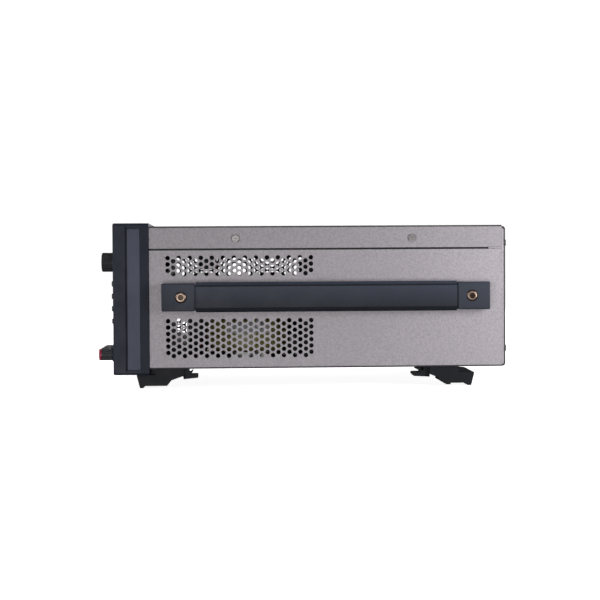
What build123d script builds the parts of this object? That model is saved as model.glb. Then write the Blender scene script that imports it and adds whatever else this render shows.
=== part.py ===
"""Half-rack bench power supply: folded steel case, moulded front bezel, strap handle.

Frame: the front faces -Y, +X is the operator's right, +Z is up, the bench is Z = 0.
The origin is the middle of the overall box, on the bench.
"""
from build123d import *
import os

os.makedirs("parts", exist_ok=True)

# ---- Driving dimensions (mm) ----
CASE_W = 209.0
CASE_H = 125.7
CASE_START = 31.3
CASE_REAR = 347.0
BEZEL_W = 213.0
BEZEL_H = 133.4
BEZEL_D = 31.0
BEZEL_FACE = -0.5
BEZEL_RISE = 2.8
FOOT_H = 16.8
SHEET = 1.2
BEND_R = 2.0
WALL = 3.0
GAP = 0.3
POST_TIP = 14.6
SCREW_HEAD_H = 1.2
HANDLE_OUT = 12.0

# ---- Frame of the whole object ----
OVERALL_D = POST_TIP + CASE_REAR + SCREW_HEAD_H
FRONT_Y = POST_TIP - OVERALL_D / 2
RIGHT_X = CASE_W / 2 + HANDLE_OUT
MID_X = (BEZEL_W / 2 - RIGHT_X) / 2
CASE_TOP = FOOT_H + CASE_H
HALF_W = CASE_W / 2
PANEL_T = 1.7
PANEL_RIM = 3.4
CASE_END = CASE_REAR - PANEL_RIM - 0.1


def across(x):
    """X of a point x to the right of the case's centre plane."""
    return MID_X + x


def behind(depth):
    """Y of a point at this depth behind the bezel's front face."""
    return FRONT_Y + depth


def below(drop):
    """Z of a point this far below the top of the case."""
    return CASE_TOP - drop


def facing_front(depth):
    """Plane square to Y at this depth, with local x = X and local y = Z."""
    return Plane.XZ.offset(-behind(depth))


def facing_side(x):
    """Plane square to X, with local x = Y and local y = Z."""
    return Plane.YZ.offset(across(x))


def block(x, depth, drop, mode=Mode.ADD):
    """Box between (low, high) pairs, measured from the centre plane, bezel face and case top."""
    middle = (across(sum(x) / 2), behind(sum(depth) / 2), below(sum(drop) / 2))
    with Locations(middle):
        Box(x[1] - x[0], depth[1] - depth[0], drop[1] - drop[0], mode=mode)


def rod_y(x, drop, depth, radius, mode=Mode.ADD):
    """Round bar along Y between two depths."""
    with Locations(Location((across(x), behind(sum(depth) / 2), below(drop)), (90, 0, 0))):
        Cylinder(radius, depth[1] - depth[0], mode=mode)


def rod_x(x, depth, drop, radius, mode=Mode.ADD):
    """Round bar along X between two distances from the centre plane."""
    with Locations(Location((across(sum(x) / 2), behind(depth), below(drop)), (0, 90, 0))):
        Cylinder(radius, x[1] - x[0], mode=mode)


def side_points(points):
    """Turn (depth, drop) pairs into (Y, Z) points for a sketch that faces the side."""
    return [(behind(depth), below(drop)) for depth, drop in points]


def save(piece, name):
    """Label a finished piece and write its STEP file."""
    piece.part.label = name
    export_step(piece.part, f"parts/{name}.step")


# ---- Front layout: (x from the centre plane, drop below the case top) ----
KNOB_AT = (70.0, 31.1)
KNOB_R = 8.6
KNOB_TIP = 13.0
KNOB_FOOT = 0.8
KEY_W = 13.0
KEY_H = 4.8
KEY_OUT = 2.5
KEY_TRAVEL = 1.0
KEY_COLUMNS = (52.0, 70.0, 88.0)
KEY_ROWS = (50.4, 61.4, 72.4, 83.4)
KEY_GRID = (
    ("number_key_7", "number_key_8", "number_key_9"),
    ("number_key_4", "number_key_5", "number_key_6"),
    ("number_key_1", "number_key_2", "number_key_3"),
    ("number_key_0", "point_key", "enter_key"),
)
KEYS = {
    "left_key": (33.0, KNOB_AT[1]),
    "right_key": (50.0, KNOB_AT[1]),
    "output_key": (33.0, KEY_ROWS[3]),
    "function_key_1": (-62.0, KEY_ROWS[3]),
    "function_key_2": (-20.0, KEY_ROWS[3]),
}
for row_names, row_drop in zip(KEY_GRID, KEY_ROWS):
    for key_name, column_x in zip(row_names, KEY_COLUMNS):
        KEYS[key_name] = (column_x, row_drop)
DISPLAY_AT = (-41.0, 38.0)
WINDOW_W = 112.0
WINDOW_H = 66.0
WINDOW_T = 1.6
POWER_AT = (-86.0, 113.2)
POWER_W = 15.0
POWER_H = 10.0
POWER_TRAVEL = 3.0
POST_DROP = 113.2
POST_X = (86.5, 67.45, 45.55, 26.5)
POST_R = 3.4
SOCKET_R = 2.0
NUT_R = 5.3
NUT_BORE_R = 3.45
NUT_FOOT = 3.0
BOARD_DEPTH = 12.0
BOARD_T = 1.6
BOARD_POSTS = [(x, drop) for x in (-95.0, 95.0) for drop in (3.8, 94.0)]
BULKHEAD = 43.0
BOSS_OUT = 2.7
BOSS_R = 6.2


# ---- Front bezel: a moulded frame that stands proud of the case all round ----
BEZEL_MID = (MID_X, below(-BEZEL_RISE) - BEZEL_H / 2)
TAPER_START = 23.5
TAPER_IN = 1.3
CORNER_R = 2.2
FACE_R = 1.6
GROOVE = (10.6, 11.9)
GROOVE_DEEP = 2.0
INLAY = (12.0, 23.5)
INLAY_DROP = (2.0, 126.2)
INLAY_DEEP = 0.6
HALF_BEZEL = BEZEL_W / 2

with BuildPart() as front_bezel:
    with BuildSketch(facing_front(BEZEL_FACE)):
        with Locations(BEZEL_MID):
            RectangleRounded(BEZEL_W, BEZEL_H, CORNER_R)
    extrude(amount=BEZEL_FACE - TAPER_START)
    fillet(front_bezel.faces().sort_by(Axis.Y)[0].edges(), FACE_R)
    with BuildSketch(facing_front(TAPER_START)):
        with Locations(BEZEL_MID):
            RectangleRounded(BEZEL_W, BEZEL_H, CORNER_R)
    with BuildSketch(facing_front(BEZEL_D)):
        with Locations(BEZEL_MID):
            RectangleRounded(BEZEL_W - 2 * TAPER_IN, BEZEL_H, CORNER_R)
    loft()
    with BuildSketch(facing_front(WALL)):
        with Locations(BEZEL_MID):
            Rectangle(BEZEL_W - 4 * WALL, BEZEL_H - 4 * WALL)
    extrude(amount=-BEZEL_D, mode=Mode.SUBTRACT)
    for side in (-1, 1):
        groove_x = sorted((side * (HALF_BEZEL - GROOVE_DEEP), side * (HALF_BEZEL + 1)))
        inlay_x = sorted((side * (HALF_BEZEL - INLAY_DEEP), side * (HALF_BEZEL + 1)))
        block(groove_x, GROOVE, (0.5, 127.0), Mode.SUBTRACT)
        block(inlay_x, INLAY, INLAY_DROP, Mode.SUBTRACT)
    # Display opening with a rebate for the window
    with BuildSketch(facing_front(BEZEL_FACE)):
        with Locations((across(DISPLAY_AT[0]), below(DISPLAY_AT[1]))):
            RectangleRounded(WINDOW_W + 0.4, WINDOW_H + 0.4, 2.0)
    extrude(amount=BEZEL_FACE - WINDOW_T, mode=Mode.SUBTRACT)
    with BuildSketch(facing_front(BEZEL_FACE)):
        with Locations((across(DISPLAY_AT[0]), below(DISPLAY_AT[1]))):
            Rectangle(WINDOW_W - 6, WINDOW_H - 6)
    extrude(amount=-WALL - 1, mode=Mode.SUBTRACT)
    # Raised bosses insulate the binding posts; shallow grooves frame them along the lower edge
    for post_x in POST_X:
        rod_y(post_x, POST_DROP, (-BOSS_OUT, WALL), BOSS_R)
        rod_y(post_x, POST_DROP, (-BOSS_OUT - 1, WALL + 1), POST_R + 0.05, Mode.SUBTRACT)
    block((-HALF_BEZEL + 6, HALF_BEZEL - 6), (BEZEL_FACE - 1, 0), (97.4, 98.6), Mode.SUBTRACT)
    for divider_x in (97.5, 56.5, 15.5, -70.0):
        block((divider_x - 0.5, divider_x + 0.5), (BEZEL_FACE - 1, 0), (103.0, 123.0), Mode.SUBTRACT)
    # Holes for the keys, power button and knob shaft
    with BuildSketch(facing_front(-1)):
        with Locations([(across(x), below(drop)) for x, drop in KEYS.values()]):
            RectangleRounded(KEY_W + 2 * GAP, KEY_H + 2 * GAP, 1.2)
        with Locations((across(POWER_AT[0]), below(POWER_AT[1]))):
            RectangleRounded(POWER_W + 2 * GAP, POWER_H + 2 * GAP, 2.2)
        with Locations((across(KNOB_AT[0]), below(KNOB_AT[1]))):
            Circle(3.7)
    extrude(amount=-WALL - 2, mode=Mode.SUBTRACT)
    # Pillars that carry the front circuit board
    for pillar_x, pillar_drop in BOARD_POSTS:
        rod_y(pillar_x, pillar_drop, (WALL - 0.5, BOARD_DEPTH), 3.5)
save(front_bezel, "front_bezel")


# ---- Display ----
with BuildPart() as display_window:
    with BuildSketch(facing_front(0)):
        with Locations((across(DISPLAY_AT[0]), below(DISPLAY_AT[1]))):
            RectangleRounded(WINDOW_W, WINDOW_H, 1.8)
    extrude(amount=-WINDOW_T)
save(display_window, "display_window")

with BuildPart() as display_module:
    module_x = (DISPLAY_AT[0] - 53.5, DISPLAY_AT[0] + 53.5)
    module_drop = (DISPLAY_AT[1] - 30.5, DISPLAY_AT[1] + 30.5)
    block(module_x, (WALL + 0.2, BOARD_DEPTH - 0.1), module_drop)
    recess_drop = (module_drop[0] + 4, module_drop[1] - 4)
    block((module_x[0] + 5, module_x[1] - 5), (WALL, WALL + 0.9), recess_drop, Mode.SUBTRACT)
    fillet(display_module.edges().filter_by(Axis.Y), 1.0)
save(display_module, "display_module")


# ---- Front circuit board with a dome switch behind each key ----
SWITCH_OUT = 3.4
with BuildPart() as front_circuit_board:
    block((-99.0, 99.0), (BOARD_DEPTH, BOARD_DEPTH + BOARD_T), (4.5, 98.0))
    for switch_x, switch_drop in KEYS.values():
        block((switch_x - 3, switch_x + 3), (BOARD_DEPTH - SWITCH_OUT, BOARD_DEPTH),
              (switch_drop - 3, switch_drop + 3))
    block((-20.0, 30.0), (BOARD_DEPTH + BOARD_T, BOARD_DEPTH + BOARD_T + 6), (80.0, 90.0))
    for chip_x in (-70.0, -40.0, 20.0, 60.0):
        block((chip_x - 9, chip_x + 9), (BOARD_DEPTH + BOARD_T, BOARD_DEPTH + BOARD_T + 2), (40.0, 58.0))
save(front_circuit_board, "front_circuit_board")


# ---- Keys: a cap that stands proud, a lip behind the bezel and a plunger ----
KEY_BACK = BOARD_DEPTH - SWITCH_OUT - KEY_TRAVEL - 0.2
for key_name, (key_x, key_drop) in KEYS.items():
    with BuildPart() as key:
        with BuildSketch(facing_front(-KEY_OUT)):
            with Locations((across(key_x), below(key_drop))):
                RectangleRounded(KEY_W, KEY_H, 1.0)
        extrude(amount=-KEY_OUT - WALL - GAP)
        fillet(key.faces().sort_by(Axis.Y)[0].edges(), 0.7)
        block((key_x - KEY_W / 2 - 1.2, key_x + KEY_W / 2 + 1.2), (WALL + GAP, WALL + GAP + 1),
              (key_drop - KEY_H / 2 - 1.2, key_drop + KEY_H / 2 + 1.2))
        rod_y(key_x, key_drop, (WALL + GAP, KEY_BACK), 1.6)
    save(key, key_name)


# ---- Power button and its switch ----
with BuildPart() as power_button:
    with BuildSketch(facing_front(-4.0)):
        with Locations((across(POWER_AT[0]), below(POWER_AT[1]))):
            RectangleRounded(POWER_W, POWER_H, 2.0)
    extrude(amount=-4.0 - WALL - GAP)
    fillet(power_button.faces().sort_by(Axis.Y)[0].edges(), 1.0)
    block((POWER_AT[0] - 9, POWER_AT[0] + 9), (WALL + GAP, WALL + GAP + 1.2),
          (POWER_AT[1] - 6.5, POWER_AT[1] + 6.5))
    rod_y(*POWER_AT, (WALL + GAP, 9.0), 2.5)
save(power_button, "power_button")

with BuildPart() as power_switch:
    rod_y(*POWER_AT, (9.0 + POWER_TRAVEL + 0.3, 32.0), 2.5)
    block((POWER_AT[0] - 8, POWER_AT[0] + 8), (32.0, BULKHEAD), (POWER_AT[1] - 7, POWER_AT[1] + 7))
save(power_switch, "power_switch")


# ---- Rotary encoder and control knob ----
SHAFT_R = 3.0
with BuildPart() as knob_encoder:
    block((KNOB_AT[0] - 7, KNOB_AT[0] + 7), (5.2, BOARD_DEPTH), (KNOB_AT[1] - 7, KNOB_AT[1] + 7))
    rod_y(*KNOB_AT, (-0.4, 5.2), 3.5)
    rod_y(*KNOB_AT, (-10.5, 0), SHAFT_R)
save(knob_encoder, "knob_encoder")

with BuildPart() as control_knob:
    with BuildSketch(facing_front(-KNOB_FOOT)):
        with Locations((across(KNOB_AT[0]), below(KNOB_AT[1]))):
            Circle(KNOB_R)
    extrude(amount=KNOB_TIP - KNOB_FOOT)
    fillet(control_knob.faces().sort_by(Axis.Y)[0].edges(), 1.2)
    chamfer(control_knob.faces().sort_by(Axis.Y)[-1].edges(), 0.4)
    # Flutes round the grip and a finger dimple in the face
    with BuildSketch(facing_front(-KNOB_FOOT - 3)):
        with Locations((across(KNOB_AT[0]), below(KNOB_AT[1]))):
            with PolarLocations(KNOB_R + 0.25, 24):
                Circle(0.65)
    extrude(amount=KNOB_TIP, mode=Mode.SUBTRACT)
    with Locations((across(KNOB_AT[0]), behind(-KNOB_TIP - 14.0), below(KNOB_AT[1]))):
        Sphere(14.8, mode=Mode.SUBTRACT)
    rod_y(*KNOB_AT, (-11.0, 0), SHAFT_R + 0.05, Mode.SUBTRACT)
save(control_knob, "control_knob")


# ---- Binding posts: a fixed threaded stud with a banana socket, and a thumb nut ----
STUD_TIP = 12.2
SOCKET_DEEP = 20.0
with BuildPart() as binding_posts:
    for post_x in POST_X:
        rod_y(post_x, POST_DROP, (-STUD_TIP, 16.0), POST_R)
        rod_y(post_x, POST_DROP, (WALL, WALL + 3.0), 5.5)
        rod_y(post_x, POST_DROP, (-STUD_TIP - 1, SOCKET_DEEP - STUD_TIP), SOCKET_R, Mode.SUBTRACT)
save(binding_posts, "binding_posts")

for post_number, post_x in enumerate(POST_X, start=1):
    with BuildPart() as post_nut:
        with BuildSketch(facing_front(-NUT_FOOT)):
            with Locations((across(post_x), below(POST_DROP))):
                Circle(NUT_R)
        extrude(amount=POST_TIP - NUT_FOOT)
        fillet(post_nut.faces().sort_by(Axis.Y)[0].edges(), 1.0)
        with BuildSketch(facing_front(-NUT_FOOT)):
            with Locations((across(post_x), below(POST_DROP))):
                with PolarLocations(NUT_R + 0.3, 18):
                    Circle(0.7)
        extrude(amount=POST_TIP - NUT_FOOT - 2.8, mode=Mode.SUBTRACT)
        rod_y(post_x, POST_DROP, (-STUD_TIP - 0.3, 0), NUT_BORE_R, Mode.SUBTRACT)
        rod_y(post_x, POST_DROP, (-POST_TIP - 1, 0), SOCKET_R + 0.3, Mode.SUBTRACT)
    save(post_nut, f"post_nut_{post_number}")


# ---- Lower case: a folded steel tray with perforated sides ----
SEAM_DROP = 20.45
SEAM_GAP = 1.7
COVER_EDGE = SEAM_DROP - SEAM_GAP / 2
TRAY_EDGE = SEAM_DROP + SEAM_GAP / 2
JOGGLE = 3.0
LEDGE = (24.0, 25.2)
RAIL_X = (HALF_W - JOGGLE - SHEET, HALF_W - JOGGLE)
RAIL_TOP = 5.0
RAIL_DEPTH = (CASE_START + 1, CASE_END)
SEAM_FILLER = (331.7, CASE_END)
COVER_SCREWS = (107.3, 263.3)
COVER_SCREW_DROP = 11.0
HANDLE_SCREWS = (59.3, 315.1)
HANDLE_DROP = 62.45
PANEL_SCREWS = [(x, drop) for x in (-97.0, 97.0) for drop in (15.8, 109.8)]
SHANK_R = 2.5
HOLE_R = 2.0
HOLE_STEP = 5.6
HOLE_COLUMN = HOLE_STEP * 0.866
HOLE_COLUMNS = 27
FIRST_COLUMN = 47.6
UPPER_BAND = (27.9, 3)
LOWER_BAND = (83.4, 6)

hole_points = []
for column in range(HOLE_COLUMNS):
    stagger = HOLE_STEP / 2 if column % 2 else 0
    for first_drop, rows in (UPPER_BAND, LOWER_BAND):
        for row in range(rows):
            hole_points.append((FIRST_COLUMN + column * HOLE_COLUMN, first_drop + stagger + row * HOLE_STEP))

with BuildPart() as lower_case:
    with BuildSketch(facing_front(CASE_START)) as tray_section:
        with Locations((MID_X, (FOOT_H + below(TRAY_EDGE)) / 2)):
            Rectangle(CASE_W, CASE_H - TRAY_EDGE)
        fillet(tray_section.vertices().group_by(Axis.Y)[0], BEND_R)
        with Locations((MID_X, FOOT_H + SHEET)):
            Rectangle(CASE_W - 2 * SHEET, CASE_H, align=(Align.CENTER, Align.MIN), mode=Mode.SUBTRACT)
    extrude(amount=-(CASE_END - CASE_START))
    for side in (-1, 1):
        # The upper edge steps inward to a rail that the cover screws to
        block(sorted((side * RAIL_X[0], side * RAIL_X[1])), RAIL_DEPTH, (RAIL_TOP, LEDGE[1]))
        block(sorted((side * RAIL_X[0], side * (HALF_W - SHEET))), RAIL_DEPTH, LEDGE)
        block(sorted((side * RAIL_X[0], side * HALF_W)), SEAM_FILLER, (SEAM_DROP - 0.65, SEAM_DROP + 0.65))
        for screw_depth in COVER_SCREWS:
            hole_x = sorted((side * (HALF_W - 8), side * HALF_W))
            rod_x(hole_x, screw_depth, COVER_SCREW_DROP, 1.5, Mode.SUBTRACT)
    for screw_x, screw_drop in PANEL_SCREWS:
        # A tab folded in from the rail or the wall takes each screw of the rear panel
        tab_side = 1 if screw_x > 0 else -1
        tab_edge = RAIL_X[1] if screw_drop < LEDGE[0] else HALF_W - 0.5
        tab_x = sorted((screw_x - 5 * tab_side, tab_side * tab_edge))
        block(tab_x, (CASE_END - SHEET, CASE_END), (screw_drop - 6, screw_drop + 6))
        rod_y(screw_x, screw_drop, (CASE_END - SHEET - 1, CASE_END + 1), 1.5, Mode.SUBTRACT)
    for screw_depth in HANDLE_SCREWS:
        rod_x((HALF_W - 4, HALF_W + 1), screw_depth, HANDLE_DROP, SHANK_R + 0.05, Mode.SUBTRACT)
    with BuildSketch(facing_side(-HALF_W - 1)):
        with Locations(side_points(hole_points)):
            Circle(HOLE_R)
    extrude(amount=CASE_W + 2, mode=Mode.SUBTRACT)
save(lower_case, "lower_case")


# ---- Top cover: a shallow inverted tray ----
with BuildPart() as top_cover:
    with BuildSketch(facing_front(CASE_START)) as cover_section:
        with Locations((MID_X, CASE_TOP)):
            Rectangle(CASE_W, COVER_EDGE, align=(Align.CENTER, Align.MAX))
        fillet(cover_section.vertices().group_by(Axis.Y)[-1], BEND_R)
        with Locations((MID_X, CASE_TOP - SHEET)):
            Rectangle(CASE_W - 2 * SHEET, COVER_EDGE, align=(Align.CENTER, Align.MAX), mode=Mode.SUBTRACT)
    extrude(amount=-(CASE_END - CASE_START))
    for side in (-1, 1):
        for screw_depth in COVER_SCREWS:
            dimple_x = sorted((side * (HALF_W - 0.6), side * (HALF_W + 1)))
            hole_x = sorted((side * (HALF_W - 4), side * HALF_W))
            rod_x(dimple_x, screw_depth, COVER_SCREW_DROP, 4.0, Mode.SUBTRACT)
            rod_x(hole_x, screw_depth, COVER_SCREW_DROP, 1.5, Mode.SUBTRACT)
save(top_cover, "top_cover")


# ---- Bulkhead behind the front electronics ----
WALL_INSIDE = HALF_W - SHEET
FLOOR_DROP = CASE_H - SHEET
BULKHEAD_HALF_W = 99.8
with BuildPart() as front_bulkhead:
    bulkhead_x = (-BULKHEAD_HALF_W, BULKHEAD_HALF_W)
    flange_depth = (CASE_START + 2, BULKHEAD + SHEET)
    block(bulkhead_x, (BULKHEAD, BULKHEAD + SHEET), (8.0, FLOOR_DROP))
    block(bulkhead_x, flange_depth, (FLOOR_DROP - SHEET, FLOOR_DROP))
    for side in (-1, 1):
        flange_x = sorted((side * BULKHEAD_HALF_W, side * (BULKHEAD_HALF_W - SHEET)))
        block(flange_x, flange_depth, (8.0, FLOOR_DROP))
    block((-40.0, 40.0), (BULKHEAD - 1, BULKHEAD + 2), (84.0, 96.0), Mode.SUBTRACT)
save(front_bulkhead, "front_bulkhead")


# ---- Rear panel with the fan grille and connector cut-outs ----
PANEL_STEP = 1.0
FAN_AT = (46.0, 62.0)
FAN_SIZE = 80.0
FAN_D = 25.0
FAN_PITCH = 71.5
HALF_PITCH = FAN_PITCH / 2
FAN_SCREWS = [(FAN_AT[0] + i * HALF_PITCH, FAN_AT[1] + j * HALF_PITCH) for i in (-1, 1) for j in (-1, 1)]
INLET_AT = (-72.0, 86.0)
INLET_W = 27.0
INLET_H = 40.0
SOCKETS = {
    "network": ((-82.0, 36.0), 16.0, 13.4),
    "usb": ((-58.0, 36.0), 12.0, 10.9),
    "remote": ((-30.0, 36.0), 26.0, 9.0),
}

# A shallow dish with rounded edges, a little lower than the cover
with BuildPart() as rear_panel:
    with BuildSketch(facing_front(CASE_REAR - PANEL_RIM)):
        with Locations((MID_X, FOOT_H + (CASE_H - PANEL_STEP) / 2)):
            RectangleRounded(CASE_W, CASE_H - PANEL_STEP, 3.2)
    extrude(amount=-PANEL_RIM)
    fillet(rear_panel.faces().sort_by(Axis.Y)[-1].edges(), 2.8)
    block((-HALF_W + 3.0, HALF_W - 3.0), (CASE_REAR - PANEL_RIM - 1, CASE_REAR - PANEL_T),
          (PANEL_STEP + 3.0, CASE_H - 3.0), Mode.SUBTRACT)
    with BuildSketch(facing_front(CASE_REAR - PANEL_T - 1)):
        # Concentric rings of slots in front of the fan
        with Locations((across(FAN_AT[0]), below(FAN_AT[1]))):
            for ring_r in (37.5, 31.0, 24.5, 18.0):
                Circle(ring_r)
                Circle(ring_r - 4.2, mode=Mode.SUBTRACT)
            with PolarLocations(0, 4, start_angle=45):
                Rectangle(84.0, 3.2, mode=Mode.SUBTRACT)
        with Locations([(across(x), below(drop)) for x, drop in FAN_SCREWS]):
            Circle(2.1)
        with Locations([(across(x), below(drop)) for x, drop in PANEL_SCREWS]):
            Circle(1.5)
        with Locations((across(INLET_AT[0]), below(INLET_AT[1]))):
            Rectangle(INLET_W, INLET_H)
        for (socket_x, socket_drop), socket_w, socket_h in SOCKETS.values():
            with Locations((across(socket_x), below(socket_drop))):
                Rectangle(socket_w + 0.4, socket_h + 0.4)
    extrude(amount=-PANEL_T - 2, mode=Mode.SUBTRACT)
save(rear_panel, "rear_panel")


# ---- Rear sockets: network, USB and a remote-control terminal strip ----
SOCKET_LEN = 15.0
with BuildPart() as data_sockets:
    for (socket_x, socket_drop), socket_w, socket_h in SOCKETS.values():
        block((socket_x - socket_w / 2, socket_x + socket_w / 2), (CASE_REAR - SOCKET_LEN, CASE_REAR + 0.4),
              (socket_drop - socket_h / 2, socket_drop + socket_h / 2))
    net_x, net_drop = SOCKETS["network"][0]
    net_depth = (CASE_REAR - 10, CASE_REAR + 1)
    block((net_x - 5.9, net_x + 5.9), net_depth, (net_drop - 2.6, net_drop + 4.2), Mode.SUBTRACT)
    block((net_x - 3.0, net_x + 3.0), net_depth, (net_drop - 4.8, net_drop), Mode.SUBTRACT)
    usb_x, usb_drop = SOCKETS["usb"][0]
    usb_depth = (CASE_REAR - 9, CASE_REAR + 1)
    block((usb_x - 4.2, usb_x + 4.2), usb_depth, (usb_drop - 3.9, usb_drop + 3.9), Mode.SUBTRACT)
    block((usb_x - 2.7, usb_x + 2.7), (CASE_REAR - 10, CASE_REAR - 1), (usb_drop - 1.6, usb_drop + 1.6))
    remote_x, remote_drop = SOCKETS["remote"][0]
    for pole in range(5):
        pole_x = remote_x + (pole - 2) * 5.0
        pole_drop = (remote_drop - 2.6, remote_drop + 2.6)
        block((pole_x - 1.9, pole_x + 1.9), (CASE_REAR - 8, CASE_REAR + 1), pole_drop, Mode.SUBTRACT)
save(data_sockets, "data_sockets")


# ---- Mains inlet with a fuse drawer above its three pins ----
INLET_DEEP = 28.0
C14_W = 24.2
C14_H = 16.4
C14_DROP = INLET_AT[1] + 8.5
DRAWER_W = 21.0
DRAWER_H = 8.0
DRAWER_DROP = INLET_AT[1] - 9.0
DRAWER_DEEP = 20.0
DRAWER_TRAVEL = 16.0
FLANGE_OUT = 1.0
with BuildPart() as mains_inlet:
    block((INLET_AT[0] - INLET_W / 2 + 0.2, INLET_AT[0] + INLET_W / 2 - 0.2),
          (CASE_REAR - INLET_DEEP, CASE_REAR + FLANGE_OUT),
          (INLET_AT[1] - INLET_H / 2 + 0.2, INLET_AT[1] + INLET_H / 2 - 0.2))
    with BuildSketch(facing_front(CASE_REAR)):
        with Locations((across(INLET_AT[0]), below(INLET_AT[1]))):
            RectangleRounded(INLET_W + 3, INLET_H + 4, 2.0)
    extrude(amount=-FLANGE_OUT)
    with BuildSketch(facing_front(CASE_REAR + FLANGE_OUT)) as socket_outline:
        with Locations((across(INLET_AT[0]), below(C14_DROP))):
            Rectangle(C14_W, C14_H)
        chamfer(socket_outline.vertices().group_by(Axis.Y)[-1], 4.0)
    extrude(amount=17.0, mode=Mode.SUBTRACT)
    for pin_x, pin_drop in ((-7.0, C14_DROP + 1.8), (7.0, C14_DROP + 1.8), (0.0, C14_DROP - 2.2)):
        block((INLET_AT[0] + pin_x - 1.0, INLET_AT[0] + pin_x + 1.0), (CASE_REAR - 17, CASE_REAR - 1),
              (pin_drop - 2.0, pin_drop + 2.0))
    block((INLET_AT[0] - DRAWER_W / 2 - GAP, INLET_AT[0] + DRAWER_W / 2 + GAP),
          (CASE_REAR - DRAWER_DEEP - 0.5, CASE_REAR + 2),
          (DRAWER_DROP - DRAWER_H / 2 - GAP, DRAWER_DROP + DRAWER_H / 2 + GAP), Mode.SUBTRACT)
save(mains_inlet, "mains_inlet")

with BuildPart() as fuse_drawer:
    drawer_x = (INLET_AT[0] - DRAWER_W / 2, INLET_AT[0] + DRAWER_W / 2)
    block(drawer_x, (CASE_REAR - DRAWER_DEEP, CASE_REAR + FLANGE_OUT + 0.5),
          (DRAWER_DROP - DRAWER_H / 2, DRAWER_DROP + DRAWER_H / 2))
    block((drawer_x[0] + 1.5, drawer_x[1] - 1.5), (CASE_REAR - DRAWER_DEEP + 2, CASE_REAR - 2),
          (DRAWER_DROP - DRAWER_H / 2 - 1, DRAWER_DROP + DRAWER_H / 2 - 1.4), Mode.SUBTRACT)
    block((INLET_AT[0] - 5, INLET_AT[0] + 5), (CASE_REAR + FLANGE_OUT - 0.1, CASE_REAR + 3),
          (DRAWER_DROP - DRAWER_H / 2 - 1, DRAWER_DROP - DRAWER_H / 2 + 1.6), Mode.SUBTRACT)
save(fuse_drawer, "fuse_drawer")


# ---- Cooling fan ----
FAN_FRONT = CASE_REAR - PANEL_T - FAN_D - 0.1
FAN_BACK = FAN_FRONT + FAN_D
with BuildPart() as fan_frame:
    with BuildSketch(facing_front(FAN_FRONT)):
        with Locations((across(FAN_AT[0]), below(FAN_AT[1]))):
            RectangleRounded(FAN_SIZE, FAN_SIZE, 4.0)
        with Locations([(across(x), below(drop)) for x, drop in FAN_SCREWS]):
            Circle(2.15, mode=Mode.SUBTRACT)
    extrude(amount=-FAN_D)
    rod_y(*FAN_AT, (FAN_FRONT - 1, FAN_BACK + 1), 38.5, Mode.SUBTRACT)
    rod_y(*FAN_AT, (FAN_BACK - 2.6, FAN_BACK), 17.0)
    with BuildSketch(facing_front(FAN_BACK - 2.6)):
        with Locations((across(FAN_AT[0]), below(FAN_AT[1]))):
            with PolarLocations(27.0, 4, start_angle=20):
                Rectangle(25.0, 3.0)
    extrude(amount=-2.6)
    rod_y(*FAN_AT, (FAN_FRONT + 4, FAN_BACK), 1.5)
save(fan_frame, "fan_frame")

fan_plane = Plane(origin=(across(FAN_AT[0]), behind(FAN_FRONT + 11.0), below(FAN_AT[1])), x_dir=(1, 0, 0),
                  z_dir=(0, 1, 0))
with BuildPart(fan_plane) as fan_rotor:
    Cylinder(16.5, 20.0)
    with PolarLocations(26.0, 7):
        Box(23.0, 1.5, 19.0, rotation=(38, 0, 0))
    with Locations((0, 0, 2)):
        Cylinder(1.55, 24.0, mode=Mode.SUBTRACT)
save(fan_rotor, "fan_rotor")


# ---- Strap handle on the right-hand side ----
CAP_OUT = 11.0
CAP_H = 24.4
FRONT_CAP = (42.4, 71.4)
REAR_CAP = (302.8, 331.2)
STRAP = (72.4, 301.8)
STRAP_H = 26.2
STRAP_OUT = 10.2
STRAP_T = 3.8
TONGUE_T = 2.4
TONGUE_H = 20.0
FRONT_TONGUE = (FRONT_CAP[0] + 3, STRAP[0] + 0.1)
REAR_TONGUE = (STRAP[1] - 0.1, REAR_CAP[1] - 3)
STRAP_IN = STRAP_OUT - STRAP_T
STRAP_BEVEL = (2.6, 1.5)
CHANNEL_INSET = 3.1
CHANNEL_W = 0.9
CHANNEL_DEEP = 0.5
TONGUE_X = (HALF_W + STRAP_IN + 0.7, HALF_W + STRAP_IN + 0.7 + TONGUE_T)
HEAD_R = 4.7
HEAD_OUT = HANDLE_OUT - CAP_OUT
HEAD_SEAT = HALF_W + CAP_OUT - 1.4
with BuildPart() as handle_strap:
    strap_drop = (HANDLE_DROP - STRAP_H / 2, HANDLE_DROP + STRAP_H / 2)
    block((HALF_W + STRAP_IN, HALF_W + STRAP_OUT), STRAP, strap_drop)
    long_edges = handle_strap.faces().sort_by(Axis.X)[-1].edges().filter_by(Axis.Y)
    chamfer(long_edges, STRAP_BEVEL[0], STRAP_BEVEL[1])
    for channel_drop in (strap_drop[0] + CHANNEL_INSET, strap_drop[1] - CHANNEL_INSET):
        # A shallow line moulded along the foot of each bevel
        block((HALF_W + STRAP_OUT - CHANNEL_DEEP, HALF_W + STRAP_OUT + 1), STRAP,
              (channel_drop - CHANNEL_W / 2, channel_drop + CHANNEL_W / 2), Mode.SUBTRACT)
    for tongue in (FRONT_TONGUE, REAR_TONGUE):
        block(TONGUE_X, tongue, (HANDLE_DROP - TONGUE_H / 2, HANDLE_DROP + TONGUE_H / 2))
    for screw_depth in HANDLE_SCREWS:
        block((HALF_W, HALF_W + 20), (screw_depth - 9, screw_depth + 9), (HANDLE_DROP - 4, HANDLE_DROP + 4),
              Mode.SUBTRACT)
save(handle_strap, "handle_strap")

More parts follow.
